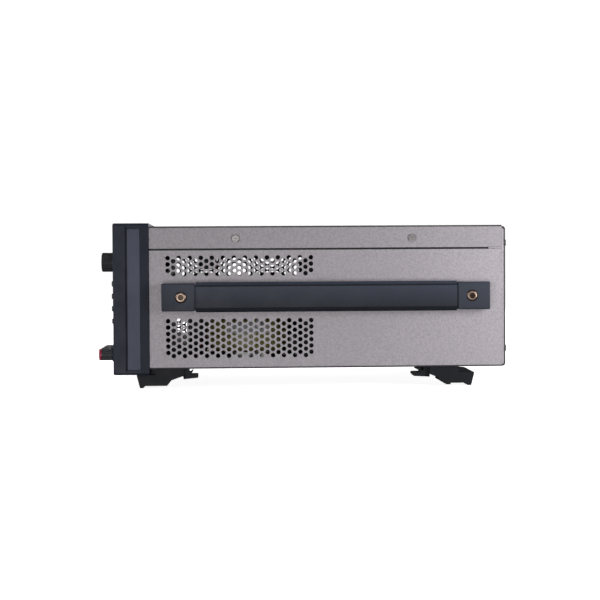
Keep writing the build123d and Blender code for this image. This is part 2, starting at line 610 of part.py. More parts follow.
for cap_name, cap_span, tongue, screw_depth in (
    ("handle_front_cap", FRONT_CAP, FRONT_TONGUE, HANDLE_SCREWS[0]),
    ("handle_rear_cap", REAR_CAP, REAR_TONGUE, HANDLE_SCREWS[1]),
):
    with BuildPart() as cap:
        block((HALF_W + 0.05, HALF_W + CAP_OUT), cap_span, (HANDLE_DROP - CAP_H / 2, HANDLE_DROP + CAP_H / 2))
        fillet(cap.edges().filter_by(Axis.X), 1.2)
        fillet(cap.faces().sort_by(Axis.X)[-1].edges(), 1.1)
        pocket_drop = (HANDLE_DROP - TONGUE_H / 2 - GAP, HANDLE_DROP + TONGUE_H / 2 + GAP)
        pocket_depth = (tongue[0] - 0.5, tongue[1] + 0.5)
        block((TONGUE_X[0] - GAP, TONGUE_X[1] + GAP), pocket_depth, pocket_drop, Mode.SUBTRACT)
        rod_x((HEAD_SEAT, HALF_W + CAP_OUT + 1), screw_depth, HANDLE_DROP, HEAD_R + GAP, Mode.SUBTRACT)
        rod_x((HALF_W, HALF_W + CAP_OUT), screw_depth, HANDLE_DROP, SHANK_R + 0.1, Mode.SUBTRACT)
    save(cap, cap_name)

with BuildPart() as handle_screws:
    for screw_depth in HANDLE_SCREWS:
        rod_x((HEAD_SEAT, HALF_W + HANDLE_OUT), screw_depth, HANDLE_DROP, HEAD_R)
    fillet(handle_screws.faces().group_by(Axis.X)[-1].edges(), 1.4)
    for screw_depth in HANDLE_SCREWS:
        rod_x((HALF_W - 7, HEAD_SEAT + 0.1), screw_depth, HANDLE_DROP, SHANK_R)
        with BuildSketch(facing_side(HALF_W + HANDLE_OUT)):
            with Locations((behind(screw_depth), below(HANDLE_DROP))):
                RegularPolygon(2.7, 6)
        extrude(amount=-HEAD_OUT - 1.2, mode=Mode.SUBTRACT)
save(handle_screws, "handle_screws")


# ---- Case screws: cross-recessed pan heads in the cover's sides and the rear panel ----
PAN_R = 2.9
CROSS = ((0.8, 3.4), (3.4, 0.8))
with BuildPart() as case_screws:
    for side in (-1, 1):
        for screw_depth in COVER_SCREWS:
            head_x = sorted((side * (HALF_W - 0.55), side * (HALF_W + 0.75)))
            shank_x = sorted((side * (HALF_W - 7), side * (HALF_W - 0.5)))
            rod_x(head_x, screw_depth, COVER_SCREW_DROP, PAN_R)
            rod_x(shank_x, screw_depth, COVER_SCREW_DROP, 1.45)
            for slot_w, slot_h in CROSS:
                block(sorted((side * (HALF_W - 0.1), side * (HALF_W + 1))),
                      (screw_depth - slot_w / 2, screw_depth + slot_w / 2),
                      (COVER_SCREW_DROP - slot_h / 2, COVER_SCREW_DROP + slot_h / 2), Mode.SUBTRACT)
    for screw_x, screw_drop in PANEL_SCREWS + FAN_SCREWS:
        rod_y(screw_x, screw_drop, (CASE_REAR, CASE_REAR + SCREW_HEAD_H), PAN_R)
        rod_y(screw_x, screw_drop, (CASE_REAR - 7, CASE_REAR + 0.1), 1.45)
        for slot_w, slot_h in CROSS:
            block((screw_x - slot_w / 2, screw_x + slot_w / 2), (CASE_REAR + 0.5, CASE_REAR + 3),
                  (screw_drop - slot_h / 2, screw_drop + slot_h / 2), Mode.SUBTRACT)
save(case_screws, "case_screws")


# ---- Feet: clip-on wedges with a release tab that points to the middle of the case ----
FOOT_W = 20.0
FOOT_X = {"right": (82.0, 102.0), "left": (-102.0, -82.0)}
FRONT_FOOT = [
    (31.4, 125.7), (65.6, 125.7), (65.6, 128.6), (67.0, 128.4), (68.6, 127.0), (69.2, 127.6), (68.2, 129.4),
    (66.8, 130.6), (73.3, 130.6), (73.3, 133.9), (60.9, 135.1), (60.2, 132.2), (50.0, 135.8), (46.2, 140.6),
    (27.0, 140.6), (25.1, 142.5), (22.3, 142.5), (19.3, 130.8), (31.4, 130.8),
]
REAR_FOOT = [
    (304.7, 125.7), (273.7, 125.7), (273.7, 129.4), (271.2, 128.4), (268.8, 127.1), (267.2, 127.1),
    (267.0, 127.8), (268.6, 128.1), (270.4, 129.4), (271.4, 130.5), (264.2, 130.5), (263.7, 132.2),
    (265.5, 134.2), (278.9, 134.9), (279.1, 132.4), (286.8, 135.4), (286.8, 137.4), (294.0, 141.7),
    (297.6, 141.7), (298.0, 140.4), (310.6, 140.4), (313.2, 142.5), (316.2, 142.5), (319.1, 131.0),
    (312.4, 127.4), (305.6, 126.8),
]
FRONT_POCKET = ((30.0, 35.6), (124.0, 130.8))
REAR_POCKET = ((305.2, 316.4), (124.0, 130.6))
POCKET_DEEP = 4.0
TAB_SET_BACK = 3.0
LEG_PIVOT = (30.4, 138.2)
LEG_LONG = 15.0
LEG_HALF_T = 2.1
LEG_W = 14.0
PIN_R = 0.8
PIN_BLIND = 1.6

for side, foot_x in FOOT_X.items():
    with BuildPart() as front_foot:
        with BuildSketch(facing_side(foot_x[0])):
            with BuildLine():
                Polyline(side_points(FRONT_FOOT), close=True)
            make_face()
        extrude(amount=FOOT_W)
        slot_x = (sum(foot_x) / 2 - LEG_W / 2 - 0.4, sum(foot_x) / 2 + LEG_W / 2 + 0.4)
        slot_depth = (LEG_PIVOT[0] - LEG_HALF_T - GAP, LEG_PIVOT[0] + LEG_LONG + 8)
        block(slot_x, slot_depth, (LEG_PIVOT[1] - 2.5, 145.0), Mode.SUBTRACT)
        rod_x((foot_x[0] + PIN_BLIND, foot_x[1] - PIN_BLIND), *LEG_PIVOT, PIN_R, Mode.SUBTRACT)
        for outer_x in foot_x:
            block((outer_x - POCKET_DEEP, outer_x + POCKET_DEEP), *FRONT_POCKET, Mode.SUBTRACT)
            set_back_x = (outer_x - TAB_SET_BACK, outer_x + TAB_SET_BACK)
            block(set_back_x, (61.0, 75.0), (124.0, 136.0), Mode.SUBTRACT)
    save(front_foot, f"front_foot_{side}")
    with BuildPart() as rear_foot:
        with BuildSketch(facing_side(foot_x[0])):
            with BuildLine():
                Polyline(side_points(REAR_FOOT), close=True)
            make_face()
        extrude(amount=FOOT_W)
        for outer_x in foot_x:
            block((outer_x - POCKET_DEEP, outer_x + POCKET_DEEP), *REAR_POCKET, Mode.SUBTRACT)
            set_back_x = (outer_x - TAB_SET_BACK, outer_x + TAB_SET_BACK)
            block(set_back_x, (262.0, 278.8), (124.0, 136.0), Mode.SUBTRACT)
    save(rear_foot, f"rear_foot_{side}")

    # Fold-out leg, stored flat under the front foot
    with BuildPart() as tilt_leg:
        leg_x = (sum(foot_x) / 2 - LEG_W / 2, sum(foot_x) / 2 + LEG_W / 2)
        rod_x(leg_x, *LEG_PIVOT, LEG_HALF_T)
        leg_drop = (LEG_PIVOT[1] - LEG_HALF_T, LEG_PIVOT[1] + LEG_HALF_T)
        block(leg_x, (LEG_PIVOT[0], LEG_PIVOT[0] + LEG_LONG), leg_drop)
        rod_x(leg_x, *LEG_PIVOT, PIN_R + 0.05, Mode.SUBTRACT)
        fillet(tilt_leg.faces().sort_by(Axis.Y)[-1].edges().filter_by(Axis.X), 1.0)
    save(tilt_leg, f"tilt_leg_{side}")

with BuildPart() as tilt_leg_pins:
    for foot_x in FOOT_X.values():
        rod_x((foot_x[0] + PIN_BLIND, foot_x[1] - PIN_BLIND), *LEG_PIVOT, PIN_R)
save(tilt_leg_pins, "tilt_leg_pins")


# ---- Toroidal transformer ----
TOROID_AT = (48.0, 118.5)
TOROID_R = 38.0
TOROID_HOLE_R = 14.0
TOROID_H = 30.0
PAD_H = 12.0
TOROID_TOP = FLOOR_DROP - PAD_H - TOROID_H
with BuildPart() as toroid_transformer:
    with BuildSketch(Plane.XY.offset(below(FLOOR_DROP - PAD_H))):
        with Locations((across(TOROID_AT[0]), behind(TOROID_AT[1]))):
            Circle(TOROID_R)
            Circle(TOROID_HOLE_R, mode=Mode.SUBTRACT)
    extrude(amount=TOROID_H)
    fillet(toroid_transformer.edges().filter_by(GeomType.CIRCLE), 7.0)
save(toroid_transformer, "toroid_transformer")

with BuildPart() as transformer_clamp:
    with Locations((across(TOROID_AT[0]), behind(TOROID_AT[1]), below(TOROID_TOP) + 1.25)):
        Cylinder(26.0, 2.5)
        Cylinder(5.0, 12.0, align=(Align.CENTER, Align.CENTER, Align.MIN))
    with Locations((across(TOROID_AT[0]), behind(TOROID_AT[1]), below(FLOOR_DROP))):
        Cylinder(3.0, PAD_H + TOROID_H + 2, align=(Align.CENTER, Align.CENTER, Align.MIN))
        Cylinder(30.0, PAD_H, align=(Align.CENTER, Align.CENTER, Align.MIN))
save(transformer_clamp, "transformer_clamp")


# ---- Main circuit board on standoffs ----
MAIN_X = (-97.0, 4.0)
MAIN_DEPTH = (46.0, 312.0)
MAIN_DROP = 117.0
STANDOFFS = [(x, depth) for x in (MAIN_X[0] + 6, MAIN_X[1] - 6) for depth in (70.0, 188.0, 306.0)]
with BuildPart() as main_circuit_board:
    block(MAIN_X, MAIN_DEPTH, (MAIN_DROP - BOARD_T, MAIN_DROP))
    for relay_depth in (110.0, 132.0, 154.0):
        block((-18.0, -2.0), (relay_depth, relay_depth + 16), (MAIN_DROP - BOARD_T - 15, MAIN_DROP - BOARD_T))
    for choke_depth in (215.0, 245.0):
        block((-88.0, -66.0), (choke_depth, choke_depth + 22), (MAIN_DROP - BOARD_T - 18, MAIN_DROP - BOARD_T))
    block((-76.0, -70.0), (70.0, 100.0), (MAIN_DROP - BOARD_T - 10, MAIN_DROP - BOARD_T))
    block((-30.0, -18.0), (47.0, 62.0), (MAIN_DROP - BOARD_T - 16, MAIN_DROP - BOARD_T))
save(main_circuit_board, "main_circuit_board")

with BuildPart() as board_standoffs:
    for standoff_x, standoff_depth in STANDOFFS:
        with Locations((across(standoff_x), behind(standoff_depth), below(FLOOR_DROP))):
            Cylinder(3.0, FLOOR_DROP - MAIN_DROP, align=(Align.CENTER, Align.CENTER, Align.MIN))
save(board_standoffs, "board_standoffs")

CAN_R = 12.5
CAN_H = 38.0
CAN_DEPTHS = (124.0, 149.6, 175.2)
with BuildPart() as filter_capacitors:
    with BuildSketch(Plane.XY.offset(below(MAIN_DROP - BOARD_T))):
        with Locations([(across(x), behind(depth)) for x in (-62.0, -33.0) for depth in CAN_DEPTHS]):
            Circle(CAN_R)
    extrude(amount=CAN_H)
    fillet(filter_capacitors.faces().group_by(Axis.Z)[-1].edges(), 1.2)
save(filter_capacitors, "filter_capacitors")

# A card that stands on the main board, wider at its foot and cut away below its upper edge connector
CARD_X = (-46.0, -44.4)
CARD_HEAD = (70.4, 88.5)
CARD_FOOT = (59.5, 88.5)
CARD_SHOULDER = 76.0
with BuildPart() as plug_in_card:
    block(CARD_X, CARD_HEAD, (22.0, CARD_SHOULDER + 1))
    block(CARD_X, CARD_FOOT, (CARD_SHOULDER, MAIN_DROP - BOARD_T))
    block(CARD_X, (72.5, CARD_HEAD[1] + 1), (37.8, 50.0), Mode.SUBTRACT)
    block((CARD_X[1], CARD_X[1] + 9), (81.0, 88.0), (28.5, 36.0))
    block((CARD_X[1], CARD_X[1] + 6), (74.0, 86.0), (84.0, 98.0))
save(plug_in_card, "plug_in_card")


# ---- Heat sink with its power transistors ----
SINK_X = (14.0, 98.0)
SINK_DEPTH = (167.0, 292.0)
SINK_DROP = (30.0, 122.0)
FIN_T = 1.8
FIN_COUNT = 12
with BuildPart() as heat_sink:
    block(SINK_X, SINK_DEPTH, (SINK_DROP[1] - 6, SINK_DROP[1]))
    fin_step = (SINK_X[1] - SINK_X[0] - FIN_T) / (FIN_COUNT - 1)
    for fin in range(FIN_COUNT):
        fin_x = SINK_X[0] + fin * fin_step
        block((fin_x, fin_x + FIN_T), SINK_DEPTH, SINK_DROP)
save(heat_sink, "heat_sink")

with BuildPart() as power_transistors:
    for transistor_depth in (185.0, 210.0, 235.0, 260.0):
        block((SINK_X[0] - 4.8, SINK_X[0]), (transistor_depth, transistor_depth + 16), (84.0, 105.0))
        for lead in (-1, 0, 1):
            lead_depth = transistor_depth + 8 + 5 * lead
            block((SINK_X[0] - 3.0, SINK_X[0] - 2.2), (lead_depth - 0.6, lead_depth + 0.6), (105.0, 112.0))
save(power_transistors, "power_transistors")


# ---- Mains wiring from the inlet along the left wall to the power switch ----
LOOM_R = 2.2
LOOM_X = -WALL_INSIDE + 3.4
LOOM_ROUTE = [
    (INLET_AT[0] - 3, CASE_REAR - INLET_DEEP - 0.1, 80.0),
    (INLET_AT[0] - 3, 298.0, 80.0),
    (LOOM_X, 268.0, 74.0),
    (LOOM_X, 224.0, 70.5),
    (LOOM_X + 1, 180.0, 72.5),
    (LOOM_X, 136.0, 71.0),
    (LOOM_X + 2, 104.0, 86.0),
    (POWER_AT[0], 78.0, 104.0),
    (POWER_AT[0], BULKHEAD + SHEET + 0.1, 104.0),
]
with BuildPart() as wiring_loom:
    with BuildLine() as loom_path:
        FilletPolyline([(across(x), behind(depth), below(drop)) for x, depth, drop in LOOM_ROUTE], radius=14.0)
    with BuildSketch(Plane(origin=loom_path.line @ 0, z_dir=loom_path.line % 0)):
        Circle(LOOM_R)
    sweep()
save(wiring_loom, "wiring_loom")
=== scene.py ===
"""Looks for the bench power supply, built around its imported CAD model. Units are metres."""

import math
import random

import bmesh
import bpy
from mathutils import Matrix, Vector


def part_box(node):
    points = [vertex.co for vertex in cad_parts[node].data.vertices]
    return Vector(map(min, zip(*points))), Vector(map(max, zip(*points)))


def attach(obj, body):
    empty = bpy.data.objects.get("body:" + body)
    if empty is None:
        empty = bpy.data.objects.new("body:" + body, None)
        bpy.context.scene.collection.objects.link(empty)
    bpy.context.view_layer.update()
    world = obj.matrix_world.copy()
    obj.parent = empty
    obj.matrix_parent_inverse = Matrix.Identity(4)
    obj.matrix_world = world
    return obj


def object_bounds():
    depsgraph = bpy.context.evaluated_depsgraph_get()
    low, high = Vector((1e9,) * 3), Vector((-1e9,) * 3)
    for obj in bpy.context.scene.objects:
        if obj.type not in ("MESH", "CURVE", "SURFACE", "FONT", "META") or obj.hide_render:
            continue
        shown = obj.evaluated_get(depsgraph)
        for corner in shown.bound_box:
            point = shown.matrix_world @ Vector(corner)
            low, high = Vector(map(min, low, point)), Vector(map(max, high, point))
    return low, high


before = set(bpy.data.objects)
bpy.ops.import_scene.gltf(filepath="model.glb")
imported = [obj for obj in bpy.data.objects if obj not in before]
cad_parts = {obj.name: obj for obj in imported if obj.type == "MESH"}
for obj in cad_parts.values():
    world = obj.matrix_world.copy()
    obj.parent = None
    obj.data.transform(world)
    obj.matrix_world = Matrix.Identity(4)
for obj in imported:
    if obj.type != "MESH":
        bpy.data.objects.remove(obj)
cad_low, cad_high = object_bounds()

MM = 0.001
random.seed(7)


# ---------------------------------------------------------------- places read from the frame
def middle(node):
    """Centre of a CAD node's box."""
    low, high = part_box(node)
    return (low + high) / 2


BEZEL_DEPTH = 31 * MM
bezel_low, bezel_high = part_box("front_bezel")
case_low, case_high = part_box("lower_case")
strap_low, strap_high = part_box("handle_strap")
FRONT = bezel_high.y - BEZEL_DEPTH
MID_X = (bezel_low.x + bezel_high.x) / 2
CASE_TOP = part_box("top_cover")[1].z
CASE_RIGHT = case_high.x
CASE_LEFT = case_low.x
PANEL_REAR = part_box("rear_panel")[1].y


# ---------------------------------------------------------------- colours and the material wrapper
def tone(red, green, blue):
    """Scene-linear colour of an 8-bit display colour."""
    linear = []
    for value in (red, green, blue):
        value /= 255
        linear.append(value / 12.92 if value <= 0.04045 else ((value + 0.055) / 1.055) ** 2.4)
    return (*linear, 1.0)


def scaled(colour, factor):
    """The same colour, lighter or darker."""
    return (*[min(1.0, part * factor) for part in colour[:3]], 1.0)


# Spans of a noise texture's values: most of them, only the middle ones, and all but the lowest
MOST = (0.3, 0.7)
MIDDLE = (0.35, 0.65)
UPPER = (0.35, 0.7)
# Half the distance over which a mask changes, and the radius to which metal and paint edges are rounded
BLUR = 0.1 * MM
EDGE_RADIUS = 0.3 * MM


class Finish:
    """One procedural material, wired node by node around its Principled shader."""

    def __init__(self, name, **sockets):
        self.material = bpy.data.materials.new(name)
        self.material.use_nodes = True
        self.tree = self.material.node_tree
        self.shader = self.tree.nodes["Principled BSDF"]
        self.place = self.tree.nodes.new("ShaderNodeTexCoord").outputs["Object"]
        for socket, value in sockets.items():
            self.shader.inputs[socket.replace("_", " ")].default_value = value

    def add(self, kind, inputs=(), **settings):
        """New node; inputs maps a socket name or number to a value or to another node's output."""
        node = self.tree.nodes.new(kind)
        for key, value in settings.items():
            setattr(node, key, value)
        for key, value in dict(inputs).items():
            if isinstance(value, bpy.types.NodeSocket):
                self.tree.links.new(value, node.inputs[key])
            else:
                node.inputs[key].default_value = value
        return node

    def feed(self, socket, output):
        """Link an output to one of the shader's sockets."""
        self.tree.links.new(output, self.shader.inputs[socket])

    def noise(self, scale, detail, roughness, vector=None):
        """Noise of a given frequency per metre."""
        inputs = {"Vector": vector or self.place, "Scale": scale, "Detail": detail, "Roughness": roughness}
        return self.add("ShaderNodeTexNoise", inputs).outputs["Fac"]

    def stretch(self, x, y, z):
        """Object coordinates scaled along each axis."""
        return self.add("ShaderNodeMapping", {"Vector": self.place, "Scale": (x, y, z)}).outputs["Vector"]

    def remap(self, value, low, high, to_low, to_high):
        """Clamped linear map of a value."""
        inputs = {"Value": value, "From Min": low, "From Max": high, "To Min": to_low, "To Max": to_high}
        return self.add("ShaderNodeMapRange", inputs).outputs["Result"]

    def math(self, operation, first, second=0.0):
        """One math node."""
        return self.add("ShaderNodeMath", {0: first, 1: second}, operation=operation).outputs[0]

    def mix(self, factor, first, second):
        """Blend of two colours."""
        node = self.add("ShaderNodeMix", {"Factor": factor}, data_type="RGBA")
        for socket, value in (("A", first), ("B", second)):
            target = [s for s in node.inputs if s.name == socket and s.type == "RGBA"][0]
            if isinstance(value, bpy.types.NodeSocket):
                self.tree.links.new(value, target)
            else:
                target.default_value = value
        return [s for s in node.outputs if s.type == "RGBA"][0]

    def shades(self, texture, span, colour, darkest, lightest):
        """Texture that runs between two shades of one colour."""
        factor = self.remap(texture, *span, 0.0, 1.0)
        return self.mix(factor, scaled(colour, darkest), scaled(colour, lightest))

    def roughen(self, texture, lowest, highest):
        """Roughness that follows a texture."""
        self.feed("Roughness", self.remap(texture, *MOST, lowest, highest))

    def bump(self, height, strength, distance, normal=None):
        """Bump node's normal."""
        inputs = {"Height": height, "Strength": strength, "Distance": distance}
        if normal is not None:
            inputs["Normal"] = normal
        return self.add("ShaderNodeBump", inputs).outputs["Normal"]

    def edges(self, radius):
        """Rounded normal, and a mask that is 1 on sharp outer and inner edges."""
        rounded = self.add("ShaderNodeBevel", {"Radius": radius}, samples=6).outputs["Normal"]
        flat = self.add("ShaderNodeNewGeometry").outputs["Normal"]
        agree = self.add("ShaderNodeVectorMath", {0: rounded, 1: flat}, operation="DOT_PRODUCT")
        return rounded, self.remap(agree.outputs["Value"], 0.97, 0.78, 0.0, 1.0)

    def axis(self, name):
        """One object coordinate."""
        return self.add("ShaderNodeSeparateXYZ", {0: self.place}).outputs[name]

    def away(self, name, place):
        """Distance from a place along one axis."""
        return self.math("ABSOLUTE", self.math("SUBTRACT", self.axis(name), place))

    def beyond(self, name, low, high, skin):
        """1 where a coordinate is within skin of either end of a span."""
        edge = (high - low) / 2 - skin
        return self.remap(self.away(name, (low + high) / 2), edge - BLUR, edge + BLUR, 0.0, 1.0)

    def inside(self, name, low, high, border):
        """1 where a coordinate is inside a span and clear of a border at each end."""
        edge = (high - low) / 2 - border
        return self.remap(self.away(name, (low + high) / 2), edge - 2 * BLUR, edge, 1.0, 0.0)

    def bends(self):
        """1 where the surface faces none of the main axes: folds, rims and the walls of holes."""
        normal = self.add("ShaderNodeNewGeometry").outputs["True Normal"]
        split = self.add("ShaderNodeSeparateXYZ", {0: normal})
        sizes = [self.math("ABSOLUTE", split.outputs[name]) for name in ("X", "Y", "Z")]
        largest = self.math("MAXIMUM", self.math("MAXIMUM", sizes[0], sizes[1]), sizes[2])
        return self.remap(largest, 0.985, 0.90, 0.0, 1.0)


# ---------------------------------------------------------------- materials
def moulded(name, colour, grain=2600, depth=0.04 * MM, rough=(0.42, 0.62), wear=0.35, edge=0.5 * MM,
            shadow=None, channels=(), **sockets):
    """Injection-moulded plastic or rubber: spark-eroded grain, uneven gloss and rubbed edges.

    shadow is (from, to, strength): painted shade, the colour deepens between two heights. Each channel is
    (height, width), a shallow moulded line darkened with painted shade.
    """
    finish = Finish(name, **sockets)
    rounded, rim = finish.edges(edge)
    fine = finish.noise(grain, 4.0, 0.6)
    broad = finish.noise(26, 3.0, 0.55)
    shade = finish.shades(broad, MOST, colour, 0.86, 1.14)
    speck = finish.mix(finish.remap(fine, 0.35, 0.75, 0.0, 0.5), shade, scaled(colour, 1.35))
    rub = finish.math("MULTIPLY", rim, finish.remap(finish.noise(420, 4.0, 0.7), 0.42, 0.62, 0.15, 1.0))
    worn = finish.mix(finish.math("MULTIPLY", rub, wear), speck, scaled(colour, 2.6))
    if shadow:
        start, end, strength = shadow
        # Painted shade: the colour darkens from the upper height to the lower
        deep = finish.remap(finish.axis("Z"), start, end, 0.0, strength)
        worn = finish.mix(deep, worn, scaled(colour, 0.05))
    for height, width in channels:
        # Painted shade darkens each channel
        channel_shade = finish.remap(finish.away("Z", height), width / 2, width, 0.75, 0.0)
        worn = finish.mix(channel_shade, worn, scaled(colour, 0.1))
    finish.feed("Base Color", worn)
    finish.roughen(finish.noise(60, 4.0, 0.6), *rough)
    finish.feed("Normal", finish.bump(fine, 0.35, depth, rounded))
    return finish.material


# Depth of the painted outer skin of the case
PAINTED_SKIN = 0.7 * MM


def coated(name, colour, shift=(0, 0, 0)):
    """Powder-coated steel: orange peel, flecks, folds darkened with painted shade, and near-black painted
    shade on the inside.

    shift moves the broad clouding, so that two panels do not share one pattern.
    """
    finish = Finish(name)
    rounded, rim = finish.edges(EDGE_RADIUS)
    peel = finish.noise(1500, 2.0, 0.5)
    moved = finish.add("ShaderNodeVectorMath", {0: finish.place, 1: shift}).outputs[0]
    cloud = finish.noise(9, 2.0, 0.5, moved)
    specks = finish.add("ShaderNodeTexVoronoi", {"Vector": finish.place, "Scale": 950.0}).outputs["Distance"]
    base = finish.shades(cloud, MIDDLE, colour, 1.04, 1.11)
    flecks = finish.remap(finish.noise(560, 2.0, 0.6), 0.38, 0.62, 0.0, 0.8)
    flecked = finish.mix(flecks, base, scaled(colour, 0.8))
    dark = finish.mix(finish.remap(specks, 0.05, 0.24, 0.6, 0.0), flecked, scaled(colour, 0.6))
    light = finish.mix(finish.remap(peel, 0.48, 0.72, 0.0, 0.6), dark, scaled(colour, 1.28))
    rub = finish.math("MULTIPLY", rim, finish.remap(finish.noise(240, 4.0, 0.7), 0.4, 0.65, 0.0, 0.6))
    bends = finish.bends()
    # Painted shade: folds, rims and the walls of holes are darkened, and they reflect less
    fold_shade = finish.mix(finish.math("MULTIPLY", bends, 0.92), light, scaled(colour, 0.10))
    worn = finish.mix(rub, fold_shade, scaled(colour, 1.2))
    outer = finish.math("MAXIMUM", finish.beyond("X", CASE_LEFT, CASE_RIGHT, PAINTED_SKIN),
                        finish.beyond("Z", case_low.z, CASE_TOP, PAINTED_SKIN))
    rear_face = finish.remap(finish.axis("Y"), PANEL_REAR - 4 * BLUR, PANEL_REAR - 3 * BLUR, 0.0, 1.0)
    outer = finish.math("MAXIMUM", outer, rear_face)
    # Painted shade: the inner faces of the case are near-black
    inner_shade = finish.mix(finish.remap(cloud, *MOST, 0.0, 1.0), tone(20, 19, 21), tone(30, 29, 31))
    finish.feed("Base Color", finish.mix(outer, inner_shade, worn))
    finish.feed("Specular IOR Level", finish.remap(bends, 0.0, 1.0, 0.5, 0.08))
    finish.roughen(finish.noise(120, 3.0, 0.6), 0.42, 0.58)
    finish.feed("Normal", finish.bump(peel, 0.30, 0.06 * MM, rounded))
    return finish.material


# Brush marks per metre along and across the brushing
BRUSH_ALONG = 120
BRUSH_ACROSS = 2600


def plated(name, colour, along="Y", rough=(0.24, 0.42), wear=0.4, recess=None):
    """Plated metal: fine brushing along one axis, dull patches; recess is (axis, from, to) of painted shade.
    """
    finish = Finish(name, Metallic=1.0)
    rounded, rim = finish.edges(EDGE_RADIUS)
    squeeze = [BRUSH_ALONG if axis == along else BRUSH_ACROSS for axis in ("X", "Y", "Z")]
    lines = finish.noise(1.0, 4.0, 0.6, finish.stretch(*squeeze))
    base = finish.shades(finish.noise(90, 4.0, 0.6), UPPER, colour, 0.78, 1.05)
    shown = finish.mix(finish.math("MULTIPLY", rim, wear), base, scaled(colour, 1.25))
    if recess:
        axis, start, end = recess
        # Painted shade: the colour darkens deeper into the recess
        depth = finish.remap(finish.axis(axis), start, end, 0.0, 0.92)
        shown = finish.mix(depth, shown, tone(48, 38, 32))
    finish.feed("Base Color", shown)
    finish.roughen(lines, *rough)
    finish.feed("Normal", finish.bump(lines, 0.18, 0.02 * MM, rounded))
    return finish.material


def tipped(name, body_colour, tip_colour, tip_y):
    """Thumb nut: dark moulded body with a coloured cap in front of tip_y."""
    finish = Finish(name)
    rounded, rim = finish.edges(EDGE_RADIUS)
    fine = finish.noise(3200, 3.0, 0.6)
    front = finish.remap(finish.axis("Y"), tip_y - 1.5 * BLUR, tip_y + 1.5 * BLUR, 1.0, 0.0)
    body = finish.shades(fine, UPPER, body_colour, 0.85, 1.3)
    tip = finish.shades(finish.noise(500, 3.0, 0.5), MOST, tip_colour, 0.86, 1.12)
    both = finish.mix(front, body, tip)
    worn = finish.math("MULTIPLY", rim, finish.remap(finish.noise(700, 3.0, 0.6), 0.4, 0.65, 0.1, 0.4))
    finish.feed("Base Color", finish.mix(worn, both, tone(150, 140, 142)))
    finish.roughen(finish.noise(300, 3.0, 0.6), 0.30, 0.46)
    finish.feed("Normal", finish.bump(fine, 0.25, 0.03 * MM, rounded))
    return finish.material


def board(name, colour):
    """Circuit board: solder mask over copper tracks, with tinned pads."""
    finish = Finish(name, Coat_Weight=0.3)
    tracks = finish.add("ShaderNodeTexBrick", {"Vector": finish.place, "Scale": 130.0, "Mortar Size": 0.035,
                                               "Color1": scaled(colour, 0.9), "Color2": scaled(colour, 1.1),
                                               "Mortar": scaled(colour, 1.9)})
    pads = finish.add("ShaderNodeTexVoronoi", {"Vector": finish.place, "Scale": 260.0}).outputs["Distance"]
    pad_mask = finish.remap(pads, 0.14, 0.17, 1.0, 0.0)
    finish.feed("Base Color", finish.mix(pad_mask, tracks.outputs["Color"], tone(190, 188, 180)))
    finish.feed("Metallic", finish.math("MULTIPLY", pad_mask, 0.8))
    finish.roughen(finish.noise(200, 3.0, 0.6), 0.28, 0.45)
    finish.feed("Normal", finish.bump(tracks.outputs["Fac"], 0.3, 0.04 * MM))
    return finish.material


# Turns of tape round the winding, and how far each leans per metre of height
TAPE_TURNS = 30
TAPE_SKEW = 6.0


def taped(name, centre, colour):
    """Transformer winding wrapped in overlapping turns of polyester tape."""
    finish = Finish(name, Coat_Weight=0.35)
    local = finish.add("ShaderNodeVectorMath", {0: finish.place, 1: (-centre.x, -centre.y, -centre.z)})
    split = finish.add("ShaderNodeSeparateXYZ", {0: local.outputs[0]})
    angle = finish.math("ARCTAN2", split.outputs["Y"], split.outputs["X"])
    skew = finish.math("ADD", angle, finish.math("MULTIPLY", split.outputs["Z"], TAPE_SKEW))
    lap = finish.math("FRACT", finish.math("MULTIPLY", skew, TAPE_TURNS / (2 * math.pi)))
    wrinkle = finish.noise(700, 4.0, 0.6)
    base = finish.shades(wrinkle, MOST, colour, 0.82, 1.12)
    seam = finish.remap(lap, 0.0, 0.10, 1.0, 0.0)
    finish.feed("Base Color", finish.mix(finish.math("MULTIPLY", seam, 0.6), base, scaled(colour, 0.42)))
    finish.roughen(wrinkle, 0.22, 0.4)
    relief = finish.math("ADD", lap, finish.math("MULTIPLY", wrinkle, 0.4))
    finish.feed("Normal", finish.bump(relief, 0.6, 0.3 * MM))
    return finish.material


SCREEN_BORDER = 5 * MM


def screen(name, low, high):
    """Unlit display: black printed border round a grey-blue active area with a pixel grid."""
    finish = Finish(name, Coat_Weight=0.6)
    active = finish.math("MULTIPLY", finish.inside("X", low.x, high.x, SCREEN_BORDER),
                         finish.inside("Z", low.z, high.z, SCREEN_BORDER))
    grid = finish.add("ShaderNodeTexChecker", {"Vector": finish.place, "Scale": 2400.0,
                                               "Color1": tone(38, 46, 54), "Color2": tone(30, 38, 46)})
    finish.feed("Base Color", finish.mix(active, tone(12, 13, 15), grid.outputs["Color"]))
    finish.roughen(finish.noise(40, 2.0, 0.5), 0.12, 0.2)
    return finish.material


def lens(name):
    """Hard-coated clear window with faint smears."""
    finish = Finish(name, Transmission_Weight=1.0, IOR=1.49, Specular_IOR_Level=0.5)
    tint = finish.noise(12, 2.0, 0.5)
    finish.feed("Base Color", finish.mix(tint, tone(196, 202, 206), tone(214, 220, 224)))
    finish.feed("Roughness", finish.remap(finish.noise(55, 4.0, 0.65), 0.45, 0.75, 0.02, 0.12))
    return finish.material


def printed(name, colour):
    """Printing ink or label paper: matt, slightly uneven."""
    finish = Finish(name)
    blotch = finish.noise(900, 3.0, 0.6)
    finish.feed("Base Color", finish.shades(blotch, MOST, colour, 0.85, 1.0))
    finish.roughen(blotch, 0.5, 0.7)
    finish.feed("Normal", finish.bump(blotch, 0.2, 0.02 * MM))
    return finish.material


def paint(material, *nodes):
    """Give a material to CAD nodes."""
    for name in nodes:
        mesh_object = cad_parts[name]
        if not mesh_object.material_slots:
            mesh_object.data.materials.append(material)
        for material_slot in mesh_object.material_slots:
            material_slot.material = material


